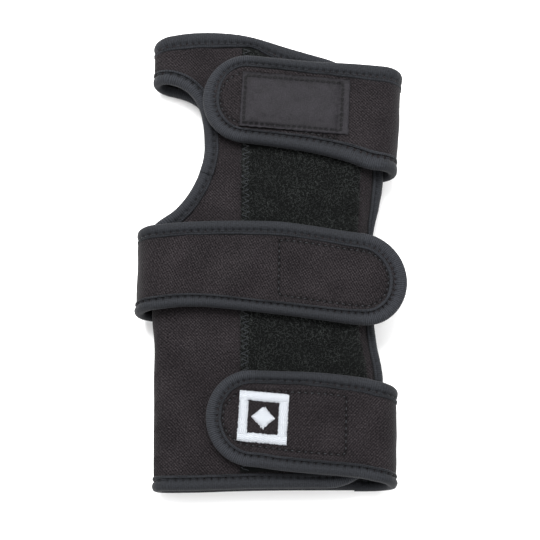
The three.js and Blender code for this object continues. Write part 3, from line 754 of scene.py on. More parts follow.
# %% [markdown]
# ## The panel
# The biggest piece. It is cut flat with a slit where the thumb goes, and the slit is pulled open to
# the measured outline. Cutting the slit first, and extruding after, gives the hole its walls for
# nothing. The padding swells a little between the seams, so the outer face gets soft low waves,
# and it is pressed down along the tape.

# %% The panel's columns
SLIT_ROW, PANEL_ROWS = 64, 110
back_s = float(panel_cloth.lower(BACK_X, 0.0))
free_s = float(panel_cloth.upper(free_x(0.0), 0.0))
fold_s = float(panel_cloth.quarter(0.0))
upper_span = float(free_x(0.0) - fold_x(0.0) - FOLD_DEPTH)
corner_s = free_s - CORNER
panel_s = np.concatenate([
    np.linspace(back_s, -THUMB_REACH, 30)[:-1],
    THUMB_REACH * np.sin(np.linspace(-math.pi / 2, math.pi / 2, 61)),
    np.linspace(THUMB_REACH, corner_s, 19)[1:],
    free_s - CORNER * (1 - np.sin(np.linspace(0, math.pi / 2, 17)[1:])),
])
SLIT_FROM, SLIT_TO = 29, 89
print("the panel has", len(panel_s), "columns, from", round(back_s, 1), "to", round(free_s, 1))

# %% [markdown]
# The two end edges are curves over the way round the cloth, and their outer corners are rounded.
# The side edges are drawn in at the wrist, so the columns spread a little to follow them.

# %% The panel's edges
def panel_column(s_at_middle):
    """The measured part's own numbering of the panel, from -2 to 2."""
    return np.where(
        s_at_middle > fold_s, 1 + (s_at_middle - fold_s) / (free_s - fold_s),
        np.where(s_at_middle < -fold_s, -1 + (s_at_middle + fold_s) / -(back_s + fold_s),
                 s_at_middle / fold_s))


def corner_cut(c):
    """How far the end edges are cut back for the round corners."""
    to_centre = np.maximum(0, CORNER - (2 - c) * upper_span)
    return CORNER - np.sqrt(np.maximum(0, CORNER**2 - to_centre**2))


def finger_y(s_at_middle):
    c = panel_column(s_at_middle)
    return station(finger_edge(np.abs(s_at_middle) / free_s)) - EDGE - corner_cut(c)


def forearm_y(s_at_middle):
    c = panel_column(s_at_middle)
    return station(forearm_edge(np.abs(s_at_middle) / free_s)) + EDGE + corner_cut(c)


def spread_s(s_at_middle, y):
    """Beyond the thumb hole the columns spread to the side edges, which aren't straight."""
    free = panel_cloth.upper(free_x(y), y)
    back = panel_cloth.lower(BACK_X, y)
    to_free = (s_at_middle - THUMB_REACH) / (free_s - THUMB_REACH)
    to_back = (s_at_middle + THUMB_REACH) / (back_s + THUMB_REACH)
    return np.where(s_at_middle > THUMB_REACH, THUMB_REACH + to_free * (free - THUMB_REACH),
                    np.where(s_at_middle < -THUMB_REACH,
                             -THUMB_REACH + to_back * (back + THUMB_REACH), s_at_middle))


print("finger end at", round(float(finger_y(0.0)), 1), "mm, forearm end at",
      round(float(forearm_y(0.0)), 1), "mm")

# %% [markdown]
# The thumb hole is an oval with blunter ends than an ellipse. The exponent of a superellipse says
# how blunt: 2 is an ellipse, and more than that goes towards a box.

# %% The thumb hole
thumb_top = float(finger_y(0.0)) - WEB_HEIGHT
thumb_foot = thumb_top - THUMB_HEIGHT
thumb_deepest = thumb_foot + THUMB_DEEPEST * THUMB_HEIGHT


def superellipse(s, height, power):
    return height * (1 - np.minimum(1, np.abs(s) / THUMB_REACH) ** power) ** (1 / power)


def thumb_upper(s):
    """The hole's far edge; on the lower leg it runs down straighter and turns later."""
    height = thumb_top - thumb_deepest
    share = np.minimum(1, np.abs(s) / THUMB_REACH)
    lower_leg = superellipse(s, height, WEB_TURN) - WEB_TILT * np.abs(s) * (1 - share**8)
    return thumb_deepest + np.where(s < 0, lower_leg, superellipse(s, height, THUMB_UPPER_ROUND))


def thumb_lower(s):
    return thumb_deepest - superellipse(s, thumb_deepest - thumb_foot, THUMB_LOWER_ROUND)


print("thumb hole from", round(thumb_foot, 1), "to", round(thumb_top, 1), "mm")

# %% [markdown]
# `slit` opens one row of the grid. `near` is the tool for everything that happens along a line,
# like the press beside a seam: it measures how far each corner is from the nearest place of a path.

# %% Slitting and pressing
def slit(bm):
    """Splits the slit's row, and moves its two lips a little apart, so that they can be told."""
    on_row = [e for e in bm.edges
              if all(abs(v.co.y - SLIT_ROW) < 0.1 and SLIT_FROM - 0.1 < v.co.x < SLIT_TO + 0.1
                     for v in e.verts)]
    bmesh.ops.split_edges(bm, edges=on_row)
    for vert in bm.verts:
        if abs(vert.co.y - SLIT_ROW) < 0.1 and SLIT_FROM + 0.1 < vert.co.x < SLIT_TO - 0.1:
            rows = [face.calc_center_median().y for face in vert.link_faces]
            vert.co.y += 0.25 if min(rows) > SLIT_ROW else -0.25


AT_ONCE = 4000  # corners measured in one go, to spare memory
PRESS, PRESS_REACH = 0.4, 4.6  # a tape presses the padding down this far, over this width


def near(s, y, path, reach):
    """1 on a path, and falling towards 0 beyond reach from it."""
    spots = np.stack([s, y], axis=1)
    result = np.zeros(len(spots))
    for start in range(0, len(spots), AT_ONCE):
        part = spots[start:start + AT_ONCE]
        away = np.linalg.norm(part[:, None, :] - path[None, :, :], axis=2).min(axis=1)
        result[start:start + AT_ONCE] = np.exp(-((away / reach) ** 2))
    return result


edge_s = np.linspace(back_s, free_s, 160)
side_y = np.linspace(-90, 80, 120)
hole_s = THUMB_REACH * np.sin(np.linspace(-math.pi / 2, math.pi / 2, 60))
panel_edges = np.concatenate([
    np.stack([spread_s(edge_s, finger_y(edge_s)), finger_y(edge_s)], axis=1),
    np.stack([spread_s(edge_s, forearm_y(edge_s)), forearm_y(edge_s)], axis=1),
    np.stack([panel_cloth.upper(free_x(side_y), side_y), side_y], axis=1),
    np.stack([panel_cloth.lower(BACK_X, side_y), side_y], axis=1),
    np.stack([hole_s, thumb_upper(hole_s)], axis=1),
    np.stack([hole_s, thumb_lower(hole_s)], axis=1)])
print("the panel's edges are", len(panel_edges), "places")

# %% [markdown]
# Now the panel itself: rows above the slit run from the hole's far edge to the finger end, rows
# below it from the near edge to the forearm end. One small tension fold stands beside the free
# edge, below the hand strap, as in the photograph.

# %% Cutting and folding the panel
CREASE_FROM, CREASE_TO = np.array([96.0, 27.0]), np.array([101.5, 15.0])
CREASE, CREASE_WIDTH = 0.9, 1.5


def panel_relief(s, y):
    """How far the outer face stands proud of the measured one."""
    swell = 0.22 * waves(s, y, 3, 46) + 0.1 * waves(s, y, 4, 17)
    run = CREASE_TO - CREASE_FROM
    ds, dy = s - CREASE_FROM[0], y - CREASE_FROM[1]
    t = np.clip((ds * run[0] + dy * run[1]) / run.dot(run), 0, 1)
    away = np.hypot(ds - t * run[0], dy - t * run[1])
    press = near(s, y, panel_edges, PRESS_REACH)
    return swell * (1 - press) - PRESS * press + CREASE * np.exp(-((away / CREASE_WIDTH) ** 2))


def panel_shape(i, j, w):
    k = np.rint(i).astype(int)
    s0 = panel_s[k]
    top, foot = finger_y(s0), forearm_y(s0)
    above, below = j > SLIT_ROW + 0.1, j < SLIT_ROW - 0.1
    up = np.clip((np.floor(j) - SLIT_ROW) / (PANEL_ROWS - SLIT_ROW), 0, 1)
    down = np.clip(np.ceil(j) / SLIT_ROW, 0, 1)
    y = np.where(above, thumb_upper(s0) + up * (top - thumb_upper(s0)),
                 np.where(below, foot + down * (thumb_lower(s0) - foot), thumb_deepest))
    s = spread_s(s0, y)
    out = np.where(w > 0.5, HALF + panel_relief(s, y), -HALF)
    return panel_cloth.point(s, y, out), np.stack([s, y], axis=1)


panel = sew("glove_body", len(panel_s) - 1, PANEL_ROWS, panel_shape, [twill_body, lining],
            cut=slit)

# %% [markdown]
# ## Tape on the panel
# Tape runs over both end edges and round the fold, over the free edges of both layers, and in a
# ring round the thumb hole, where its two ends lap.

# %% The paths of the panel's tapes
fine_s = np.concatenate([np.linspace(back_s, corner_s, 160)[:-1],
                         free_s - CORNER * (1 - np.sin(np.linspace(0, math.pi / 2, 40)))])
finger_path = np.stack([spread_s(fine_s, finger_y(fine_s)), finger_y(fine_s)], axis=1)
forearm_path = np.stack([spread_s(fine_s, forearm_y(fine_s)), forearm_y(fine_s)], axis=1)
PAST_CORNER = 12.0  # the ends' tape runs this far down the free edge
finger_corner_y, forearm_corner_y = float(finger_y(free_s)), float(forearm_y(free_s))


def free_line(y):
    """Places down the upper layer's free edge."""
    return np.stack([panel_cloth.upper(free_x(y), y), y], axis=1)


finger_path = np.concatenate(
    [finger_path, free_line(finger_corner_y - np.linspace(1, PAST_CORNER, 8))])[::-1]
forearm_path = np.concatenate(
    [forearm_path, free_line(forearm_corner_y + np.linspace(1, PAST_CORNER, 8))])
free_path = free_line(np.linspace(forearm_corner_y + PAST_CORNER - 1,
                                  finger_corner_y - PAST_CORNER + 1, 90))
back_y = np.linspace(40.0, -64.8, 60)
back_path = np.stack([panel_cloth.lower(BACK_X, back_y), back_y], axis=1)
ring_s = THUMB_REACH * np.sin(np.linspace(-math.pi / 2, math.pi / 2, 220))
ring = np.concatenate([np.stack([ring_s, thumb_upper(ring_s)], axis=1),
                       np.stack([ring_s, thumb_lower(ring_s)], axis=1)[::-1][1:-1]])
RING_SEAM = 243  # the tape starts here, where the photograph shows its lap
ring = np.roll(ring, -RING_SEAM, axis=0)
ring = np.concatenate([ring, ring[:8]])
print("paths of", len(finger_path), len(forearm_path), len(free_path), len(back_path),
      "and", len(ring), "places")

# %% [markdown]
# The tape was sewn by hand, so how far it bites on the cloth changes on the way.

# %% Binding the panel
PANEL_BITES = {
    "finger_end": ((0, 0.8), (0.06, 0.9), (0.2, 1.25), (0.3, 1.25), (0.33, 1.1), (0.365, 0.82),
                   (0.41, 1.1), (0.45, 1.25), (0.53, 1.22), (0.6, 1), (1, 1)),
    "free_edge": ((0, 0.8), (0.1, 0.6), (0.3, 0.55), (0.62, 0.25), (0.7, 0.45), (0.8, 0.66),
                  (0.92, 0.8), (1, 0.8)),
}
panel_tapes = [
    bind("finger_end_tape", panel_cloth, finger_path, 11, wider=PANEL_BITES["finger_end"]),
    bind("forearm_end_tape", panel_cloth, forearm_path, 12),
    bind("free_edge_tape", panel_cloth, free_path, 13, wider=PANEL_BITES["free_edge"]),
    bind("back_edge_tape", panel_cloth, back_path, 14),
    bind("thumb_hole_tape", panel_cloth, ring, 15, lap=5.0),
]
panel_threads = [
    tape_seam(f"{edge_name}_seam_{side}", panel_cloth, path, face,
              PANEL_BITES.get(edge_name, EVEN))
    for edge_name, path in (("finger_end", finger_path), ("forearm_end", forearm_path),
                            ("free_edge", free_path), ("back_edge", back_path),
                            ("thumb_hole", ring))
    for side, face in (("outer", 1), ("inner", -1))]

# %% [markdown]
# ## Straps
# A strap is the same padded cloth, cut in a band with a round end. Its root is sewn under the
# glove, and it folds over and runs to its tip. `out` is 0 at the fold and 1 at the tip. Along the
# way its middle line climbs by `swing`, and its width changes a little.

# %% The straps' cloth
RIGHT = LEFT + WIDTH
TIP_TURN = math.radians(88)  # the grid stops just short of the tip's point
TIP_ROUND, FOLD_ROUND = 26, 11  # millimetres round the tip and round half a fold
HIDDEN_COARSER = 1.6  # the columns of the hidden lower leg are so much wider


def strap_top(y):
    return front_level(y) + STANDOFF


class Strap:
    """A strap on its folded cloth. `reach` is from the fold to the tip, `tip` says where along the
    glove the middle line ends, and from `hook_from` on there is a hook pad. `root` and `tape_root`
    say where on the lower leg the cloth and its tape end."""

    flare = 0.0  # how much further down the lower leg reaches than the fold, in millimetres

    def __init__(self, cloth, reach, tip, swing, hook_from, rows, root, tape_root):
        self.cloth, self.reach, self.tip, self.swing = cloth, reach, tip, swing
        self.hook_from, self.root, self.tape_root = hook_from, root, tape_root
        self.rise = through([(out, rise) for out, rise, _ in rows])
        self.wide = through([(out, wide) for out, _, wide in rows])
        self.tip_share, self.fold_share = TIP / reach, STRAP_FOLD_DEPTH / reach

    def centre(self, out):
        """y of the strap's middle line."""
        return station(self.tip) - self.swing * (1 - self.rise(out))

    def half(self, out, inside=0.0, at_tip=None):
        """Half the width, less a margin inside the edge, which may differ at the tip."""
        full = self.wide(out) * STRAP_WIDTH / 2 - EDGE - inside
        at_tip = inside if at_tip is None else at_tip
        start, end = 1 - self.tip_share, 1 - (EDGE + at_tip) / self.reach
        into = np.maximum(0, (out - start) / (end - start))
        return full * np.sqrt(np.maximum(0, 1 - into**2))

    def s_of(self, out, y):
        """The way round the cloth at a share of the strap's reach."""
        q = self.cloth.quarter(y)
        return np.where(out <= self.fold_share, out / self.fold_share * q,
                        q + (out - self.fold_share) * self.reach)

    def columns(self, step, inside=0.0, start=None):
        """How far out each column lies: below -1 on the lower leg, -1 to 0 up the lower half
        of the fold, and 0 to 1 from there to the tip."""
        tip_span = self.tip_share - (EDGE + inside) / self.reach
        tip_turns = np.linspace(0, TIP_TURN, max(8, int(TIP_ROUND / step)))
        tips = 1 - self.tip_share + tip_span * np.sin(tip_turns)
        if start is not None:
            count = int((tips[0] - start) * self.reach / step)
            return np.concatenate([np.linspace(start, tips[0], count)[:-1], tips])
        count = int((tips[0] - self.fold_share) * self.reach / step)
        low = int(abs(float(self.root(station(self.tip)))) / (HIDDEN_COARSER * step))
        return np.concatenate([
            np.linspace(-2, -1, low)[:-1], np.linspace(-1, 0, int(FOLD_ROUND / step))[:-1],
            np.linspace(0, self.fold_share, int(FOLD_ROUND / step))[:-1],
            np.linspace(self.fold_share, tips[0], count)[:-1], tips])

    def s_at(self, column, y, root=None):
        """The way round the cloth at a column."""
        q = self.cloth.quarter(y)
        low = -q + (-1 - column) * ((root or self.root)(y) + q)
        return np.where(column < -1, low, np.where(column < 0, column * q,
                                                   self.s_of(np.maximum(column, 0), y)))

    def relief(self, s, y):
        """How far the outer face stands proud of the measured one."""
        q = self.cloth.quarter(y)
        out = np.clip(self.fold_share + (s - q) / self.reach, 0, 0.98)
        across = np.clip((y - self.centre(out)) / np.maximum(1, self.half(out)), -1, 1)
        rise = (0.3 * (1 - across**2) + 0.1 * waves(s, y, self.seed, 15)
                + 0.14 * waves(s, y, self.seed, 34))
        press = near(s, y, self.edge(2.0), PRESS_REACH)
        rise = rise * (1 - press) - PRESS * press
        return rise - 0.3 * near(s, y, self.seam, 1.3) - 0.4 * near(s, y, self.holes, 0.75)

    def y_at(self, column, across):
        """across is -1 at the near edge and 1 at the far one."""
        out = np.maximum(column, 0)
        spread = self.flare * ease(-column / 1.4) * np.maximum(0, -across)
        return self.centre(out) + across * self.half(out) - spread

    def edge(self, step=0.8):
        """The strap's edge, from its root round its tip and back."""
        columns = self.columns(step)
        sides = []
        for sign in (-1, 1):
            y = self.y_at(columns, sign)
            sides.append(np.stack([self.s_at(columns, y, self.tape_root), y], axis=1))
        return np.concatenate([sides[0], sides[1][::-1]])


print("the straps' cloth folds", STRAP_FOLD_DEPTH, "mm deep")

# %% [markdown]
# Two straps come from the right and one from the left. Their rows of numbers are (share of the way
# out, how far the middle line has climbed, share of STRAP_WIDTH).

# %% Three straps
ROOT_LAP = 3.0  # a root's tape runs this far on over the panel's
WRIST_LEAN, WRIST_LEAN_FROM = 0.03, -31  # the wrist strap's fold leans a little


def strap_from_right(reach, clear, lean, tip, swing, hook_from, rows):
    """clear is how far its fold stands off the panel's side, and lean how far the fold slants."""
    def edge(y):
        return RIGHT + clear + lean * (y - station(tip) + swing) / STRAP_WIDTH

    cloth = FoldedCloth(edge, STRAP_FOLD_DEPTH, back_level, strap_top, -1)
    return Strap(cloth, reach, tip, swing, hook_from, rows,
                 lambda y: cloth.lower(BACK_X + GAP, y),
                 lambda y: cloth.lower(BACK_X - ROOT_LAP, y))


hand = strap_from_right(
    94.6, 7.6, 3.6, 0.8433, 11.1, 0.3,
    [(0, -0.1, 1.2), (0.12, 0.0, 1.205), (0.25, 0.245, 1.13), (0.45, 0.51, 1.045),
     (0.79, 0.87, 1.01), (1, 1, 1)])
forearm = strap_from_right(
    86.6, 3.3, 1, 0.1495, 9, 0.2575,
    [(0, -0.06, 1.035), (0.14, 0.35, 1.04), (0.25, 0.5, 1.045), (0.42, 0.65, 1.05),
     (0.59, 0.76, 1.03), (0.74, 0.88, 1), (1, 1, 1)])


def root_lift(s, x, y):
    """The wrist strap's root climbs to lie close under the panel."""
    seat = ease(1 - (LEFT + WRIST_STRAP_ROOT - x) / ROOT_SEAT)
    return np.where(s < 0, (LIFT - PANEL - GAP) * seat, 0)


def wrist_fold(y):
    return fold_x(y) - WRIST_STRAP_CLEAR - BOUND + (y - WRIST_LEAN_FROM) * WRIST_LEAN


left_cloth = FoldedCloth(wrist_fold, STRAP_FOLD_DEPTH, lambda y: BOUND + 0 * y, strap_top, 1,
                         root_lift)
wrist = Strap(
    left_cloth, 125.7, 0.4285, -7.2, 0.523,
    [(0, 0.14, 0.935), (0.2, -0.2, 0.925), (0.5, 0.03, 1.006), (0.65, 0.36, 1.01),
     (0.8, 0.75, 1.0), (1, 1.07, 0.985)],
    lambda y: left_cloth.lower(LEFT + WRIST_STRAP_ROOT, y),
    lambda y: left_cloth.lower(LEFT + WRIST_STRAP_ROOT - ROOT_SEAT, y))
print("straps reach", hand.reach, wrist.reach, forearm.reach, "mm from fold to tip")

# %% [markdown]
# The seams that hold the hook pad under a strap show on its face as rows of stitches, and each row
# draws the padding down. The padding between them stands a little proud.

# %% The pad's seam
# It lies this far inside the strap's edge, along the sides and at the tip.
hand.pad_inset, wrist.pad_inset, forearm.pad_inset = 8.0, 7.7, 8.4
hand.pad_tip, wrist.pad_tip, forearm.pad_tip = 7.2, 7.7, 6.6
forearm.flare = 0.35
PAD_STITCH = 3.0


def pad_seam(made):
    """The seam of the hook pad: across the strap where the pad begins, and round the tip."""
    outs = made.columns(1.0, made.pad_tip, start=made.hook_from)
    low = made.centre(outs) - made.half(outs, made.pad_inset, made.pad_tip)
    high = made.centre(outs) + made.half(outs, made.pad_inset, made.pad_tip)
    sides = [np.stack([made.s_of(outs, y), y], axis=1) for y in (low, high)]
    across_y = np.linspace(high[0], low[0], 24)[1:-1]
    across = np.stack([made.s_of(np.full(22, outs[0]), across_y), across_y], axis=1)
    return np.concatenate([across, sides[0], sides[1][::-1], across[:1]])


for made in (hand, wrist, forearm):
    made.seam, _, seam_along, _ = walk(pad_seam(made), SEAM_STEP)
    needle = np.arange(0, seam_along[-1], PAD_STITCH)
    made.holes = np.stack([np.interp(needle, seam_along, made.seam[:, k]) for k in (0, 1)], axis=1)
    print("a pad's seam is", round(float(seam_along[-1])), "mm long, with", len(needle), "stitches")

# %% [markdown]
# Each body is a fine grid, so that the swell, the press along the tape and the dent of every stitch
# are real shape.

# %% Cutting and folding the straps
STRAP_ROWS, STRAP_STEP = 72, 0.6


def strap_body(name, made, material):
    columns = made.columns(STRAP_STEP)

    def flat(i, j):
        column = columns[np.rint(i).astype(int)]
        y = made.y_at(column, j / STRAP_ROWS * 2 - 1)
        return made.s_at(column, y), y

    def shape(i, j, w):
        s, y = flat(i, j)
        off = np.where(w > 0.5, HALF + made.relief(s, y), -HALF)
        return made.cloth.point(s, y, off), np.stack([s, y], axis=1)

    # Painted shade: a shadow along the pad's seam, darkest in its needle holes.
    def painted_shade(i, j, w):
        s, y = flat(i, j)
        shadow, hole = near(s, y, made.seam, 0.6), near(s, y, made.holes, 0.62)
        return np.clip(0.35 * shadow + 0.9 * hole, 0, 1)

    return sew(name, len(columns) - 1, STRAP_ROWS, shape, [material, lining], marks={"painted_shade": painted_shade})


def pad_thread(name, made):
    places, _, along, _ = walk(made.seam, SEAM_STEP)
    ground = made.relief(places[:, 0], places[:, 1])
    height = HALF + ground + 0.3 - 1.1 * dive(along, PAD_STITCH, 1.3)
    return thread(name, made.cloth, places, along, height, thread_charcoal, radius=0.2)


straps = {}
BITES = {
    "hand_strap": ((0, 1.2), (0.16, 1.3), (0.28, 1.08), (0.4, 0.95), (0.5, 1.18), (0.58, 0.9),
                   (0.64, 0.84), (0.72, 0.95), (0.84, 1.25), (1, 1.2)),
    "wrist_strap": ((0, 0.9), (0.2, 0.85), (0.36, 0.85), (0.44, 1.1), (0.5, 1.25), (0.56, 1.15),
                    (0.62, 1.05), (0.8, 1), (1, 1)),
    "forearm_strap": ((0, 0.9), (0.2, 0.9), (0.4, 0.95), (0.5, 1.05), (0.6, 0.9), (0.7, 0.85),
                      (0.8, 1), (1, 1)),
}
for name, made, material, seed in (("hand_strap", hand, twill_hand, 21),
                                   ("wrist_strap", wrist, twill_wrist, 22),
                                   ("forearm_strap", forearm, twill_strap, 23)):
    made.seed = seed
    body = strap_body(f"{name}_body", made, material)
    edge = made.edge()
    straps[name] = {
        "made": made, "body": body,
        "tape": bind(f"{name}_tape", made.cloth, edge, seed + 10, wider=BITES[name]),
        "threads": [tape_seam(f"{name}_seam_{side}", made.cloth, edge, face, BITES[name])
                    for side, face in (("outer", 1), ("inner", -1))
                    ] + [pad_thread(f"{name}_pad_seam", made)],
    }

# %% [markdown]
# ## Hook pads
# Under each strap's round end lies a pad of moulded hooks. Only the side view shows it.

# %% Hook pads
HOOK_ROWS, HOOK_STEP = 12, 2.0


def hook_pad(name, made):
    columns = made.columns(HOOK_STEP, TAPE_WIDTH + HOOK_INSET, start=made.hook_from)

    def shape(i, j, w):
        out = columns[np.rint(i).astype(int)]
        y = made.centre(out) + (j / HOOK_ROWS * 2 - 1) * made.half(out, TAPE_WIDTH + HOOK_INSET)
        s = made.s_of(out, y)
        off = np.where(w > 0.5, -HALF - 0.1, -HALF - GAP - HOOK)
        return made.cloth.point(s, y, off), np.stack([s, y], axis=1)

    return sew(name, len(columns) - 1, HOOK_ROWS, shape, [hook_plastic])


for name, row in straps.items():
    row["hook"] = hook_pad(f"{name}_hook_pad", row["made"])

# %% [markdown]
# ## The loop field
# The pile is a brushed knit: one yarn in countless small loops, all leaning their own way. Under
# the straps nobody sees it, so the loops stand only where the pile is open. A cloth underneath,
# uneven and dark, carries them.

# %% The pile's cloth
LOOP_ROWS, LOOP_COLUMNS = 190, 60
LOOP_WIDE, LOOP_LONG = 57, 205
LOOP_SELVEDGE = 2.2  # the pile grows thinner so near its edge
# From the free edge to the pile, as seen: (y, distance). The palm's end has a bare selvedge.
open_margin = through([(12, 7.2), (34, 10.2)])


def loop_side(k, y):
    near_side = panel_cloth.upper(LEFT + LOOP_LEFT, y)
    far_side = panel_cloth.upper(free_x(y) - open_margin(y), y)
    return near_side + k * (far_side - near_side)


tape_inside_finger = inset(finger_path, TAPE_WIDTH + LOOP_TO_TAPE, PANEL_BITES["finger_end"])
tape_inside_forearm = inset(forearm_path, TAPE_WIDTH + LOOP_TO_TAPE)


def end_line(path):
    """The part of a path that bounds the pile, sorted along the cloth."""
    keep = (path[:, 0] > 20) & (np.abs(path[:, 1]) > 70)
    order = np.argsort(path[keep, 0])
    return path[keep][order]


finger_line, forearm_line = end_line(tape_inside_finger), end_line(tape_inside_forearm)


def loop_place(k, t):
    """k from the near side to the free edge's, t from the forearm end to the finger end."""
    foot = np.interp(loop_side(k, -95.0 + 0 * k), forearm_line[:, 0], forearm_line[:, 1])
    top = np.interp(loop_side(k, 85.0 + 0 * k), finger_line[:, 0], finger_line[:, 1])
    y = foot + t * (top - foot)
    return loop_side(k, y), y


def loop_shape(i, j, w):
    k, t = i / LOOP_COLUMNS, j / LOOP_ROWS
    s, y = loop_place(k, t)
    rim = np.minimum(np.minimum(k, 1 - k) * LOOP_WIDE, np.minimum(t, 1 - t) * LOOP_LONG)
    border = np.clip(rim / LOOP_SELVEDGE, 0, 1)
    height = 0.5 + 0.62 * ease(border) + 0.16 * border * waves(s, y, 31, 2.6)
    height = height + 0.1 * border * waves(s, y, 32, 9)
    off = np.where(w > 0.5, HALF + GAP + height, HALF + 0.05)
    return panel_cloth.point(s, y, off), np.stack([s, y], axis=1)


loop_cloth = sew("loop_field_cloth", LOOP_COLUMNS, LOOP_ROWS, loop_shape, [pile_base])

# %% [markdown]
# The yarn itself: a thin tube that winds in small uneven loops, row after row. Where it passes from
# one open window of the pile to the next it would show as a straight thread, so each window has its
# own yarn.

# %% The pile's loops
LOOP_PITCH, YARN_ROW = 0.95, 55  # from loop to loop, and the length of one row of loops
YARN, YARN_SIDES = 0.1, 3  # the yarn's radius; so thin a yarn needs only three sides
LOOP_TURN, LOOP_POINTS = math.pi * 1.15, 8  # a loop is a little more than half a circle


def yarn(name, y_from, y_to, seed, far=1.0):
    """Loops in rows a millimetre apart; far is how much of the pile's width they fill."""
    draw = np.random.default_rng(seed)
    places = []
    rows = int(abs(y_to - y_from))
    for row in range(rows):
        y_row = y_from + (row + 0.5) * (y_to - y_from) / rows
        count = int(YARN_ROW * far / LOOP_PITCH)
        order = np.arange(count) if row % 2 == 0 else np.arange(count)[::-1]
        for loop in order:
            k = far * (loop + 0.5) / count
            s_at = float(loop_side(np.array(k), np.array(y_row))) + draw.normal(0, 0.32)
            y_at = y_row + draw.normal(0, 0.32)
            if y_at > np.interp(s_at, finger_line[:, 0], finger_line[:, 1]) - 0.8:
                continue  # it would stand in the finger end's tape
            lean, tall, wide = draw.uniform(0, TAU), draw.uniform(.6, 1.6), draw.uniform(.4, .85)
            turn = np.linspace(0, LOOP_TURN, LOOP_POINTS)
            bow = np.cos(turn) * wide
            lift = np.sin(turn) * tall
            tilt = draw.normal(0, 0.5, 2)
            places.append(np.stack([s_at + bow * math.cos(lean) + tilt[0] * lift,
                                    y_at + bow * math.sin(lean) + tilt[1] * lift,
                                    HALF + GAP + 0.85 + 0.62 * lift], axis=1))
    line = np.concatenate(places)
    spots = panel_cloth.point(line[:, 0], line[:, 1], line[:, 2])
    slanting = np.array([0.31, 0.22, 0.92])  # no stretch of the yarn runs exactly this way
    return tube(name, spots, slanting, line[:, :2], pile_loops, YARN, YARN_SIDES)


loop_yarns = [yarn("loop_yarn_palm", 9.0, 51.0, 41), yarn("loop_yarn_wrist", -62.0, -30.0, 42),
              yarn("loop_yarn_finger", 88.0, 101.5, 43, far=0.55)]

# %% [markdown]
# A zigzag seam in a lighter thread holds the pile's near side. Its stitches sink in the pile and
# show in part only.

# %% The zigzag
ZIGZAG_PITCH, ZIGZAG_WIDTH = 2.7, 3.5
zig_t = np.linspace(0.004, 0.996, int(LOOP_LONG / ZIGZAG_PITCH) * 2)
zig_s, zig_y = loop_place(0 * zig_t, zig_t)
zig_s = zig_s + 2.0 + ZIGZAG_WIDTH / 2 * np.where(np.arange(len(zig_t)) % 2 == 0, 1, -1)
zig_s = zig_s + dice.normal(0, 0.25, len(zig_s))
zig_path = np.stack([zig_s, zig_y + dice.normal(0, 0.2, len(zig_y))], axis=1)
zig_places, zig_along = evenly(zig_path, 0.35)
zigzag = thread("loop_field_zigzag", panel_cloth, zig_places, zig_along,
                HALF + GAP + 1.25 + 0.28 * waves(zig_along, 0 * zig_along, 5, 2.2),
                thread_grey, radius=0.2, wander=0.1)

# %% [markdown]
# ## The sewn label
# The hand strap carries a woven satin label. Here it stays blank. Its edge is folded under, so the
# hem stands a little higher, a row of stitches runs inside it, and the middle is softly cushioned.

# %% Placing what is sewn on a strap
# long, high and up in millimetres, from_tip from the strap's tip; tilt and lean in degrees
LABEL = {"long": 53.0, "high": 28.6, "from_tip": 44.9, "up": 0.2, "tilt": -5, "lean": 1.8}
BADGE = {"long": 22.4, "high": 23.0, "from_tip": 26.3, "up": 0.6, "tilt": -5.2, "lean": -2.2}


def sewn_place(made, size, a, b):
    """The flat place of a point of a label: a along it and b across it, from its middle."""
    middle = 1 - size["from_tip"] / made.reach
    tilt, lean = math.radians(size["tilt"]), math.radians(size["lean"])
    y = made.centre(middle) + size["up"] + a * math.sin(tilt) + b * math.cos(lean)
    x = (made.cloth.edge(y) + made.cloth.towards * middle * made.reach
         + a * math.cos(tilt) - b * math.sin(lean))
    return made.cloth.upper(x, y), y


for title, size in (("label", LABEL), ("badge", BADGE)):
    print(title, size["long"], "x", size["high"], "mm")

# %% [markdown]
# The row of stitches runs round inside the hem, which is wider on some sides than on others.

# %% The label's seam
LABEL_COLUMNS, LABEL_ROWS, LABEL_STITCH = 132, 72, 2.6
HEM = {"left": 1.8, "right": 3.6, "top": 2.3, "bottom": 1.8}
seam_left, seam_right = -LABEL["long"] / 2 + HEM["left"], LABEL["long"] / 2 - HEM["right"]
seam_low, seam_high = -LABEL["high"] / 2 + HEM["bottom"], LABEL["high"] / 2 - HEM["top"]
seam_corners = [(seam_left, seam_low), (seam_right, seam_low), (seam_right, seam_high),
                (seam_left, seam_high), (seam_left, seam_low)]
label_line, _, label_along, _ = walk(np.concatenate([
    np.linspace(p, q, 60)[:-1] for p, q in zip(seam_corners, seam_corners[1:])]), 0.3)
label_line = label_line + 0.1 * dice.normal(0, 1, label_line.shape)
label_dashes = label_line[dive(label_along, LABEL_STITCH, 2) < 0.55]
print("the label's seam is", round(float(label_along[-1])), "mm long")

# %% [markdown]
# The label's height is a sum of soft steps: up from the cut rim to the hem, down in the groove of
# the seam, up to the cushioned middle. Near its lower left corner it stands off the strap a little.


# %% The label
def inside_seam(a, b):
    return np.minimum(np.minimum(a - seam_left, seam_right - a),
                      np.minimum(b - seam_low, seam_high - b))


def inside_rim(a, b):
    return np.minimum(LABEL["long"] / 2 - np.abs(a), LABEL["high"] / 2 - np.abs(b))


def label_height(a, b):
    """How far the label's face stands off the strap."""
    inside, rim = inside_seam(a, b), inside_rim(a, b)
    height = 0.5 + 0.42 * ease(rim / 0.8) + 0.07 * waves(a, b, 51, 4) + 0.1 * waves(a, b, 52, 12)
    height = height - 0.3 * np.exp(-((inside / 0.8) ** 2)) + 0.8 * ease((inside - 0.4) / 7)
    return height + 0.9 * ease((2.2 - LABEL["high"] / 2 - b) / 2.5) * ease((8 - a) / 16)


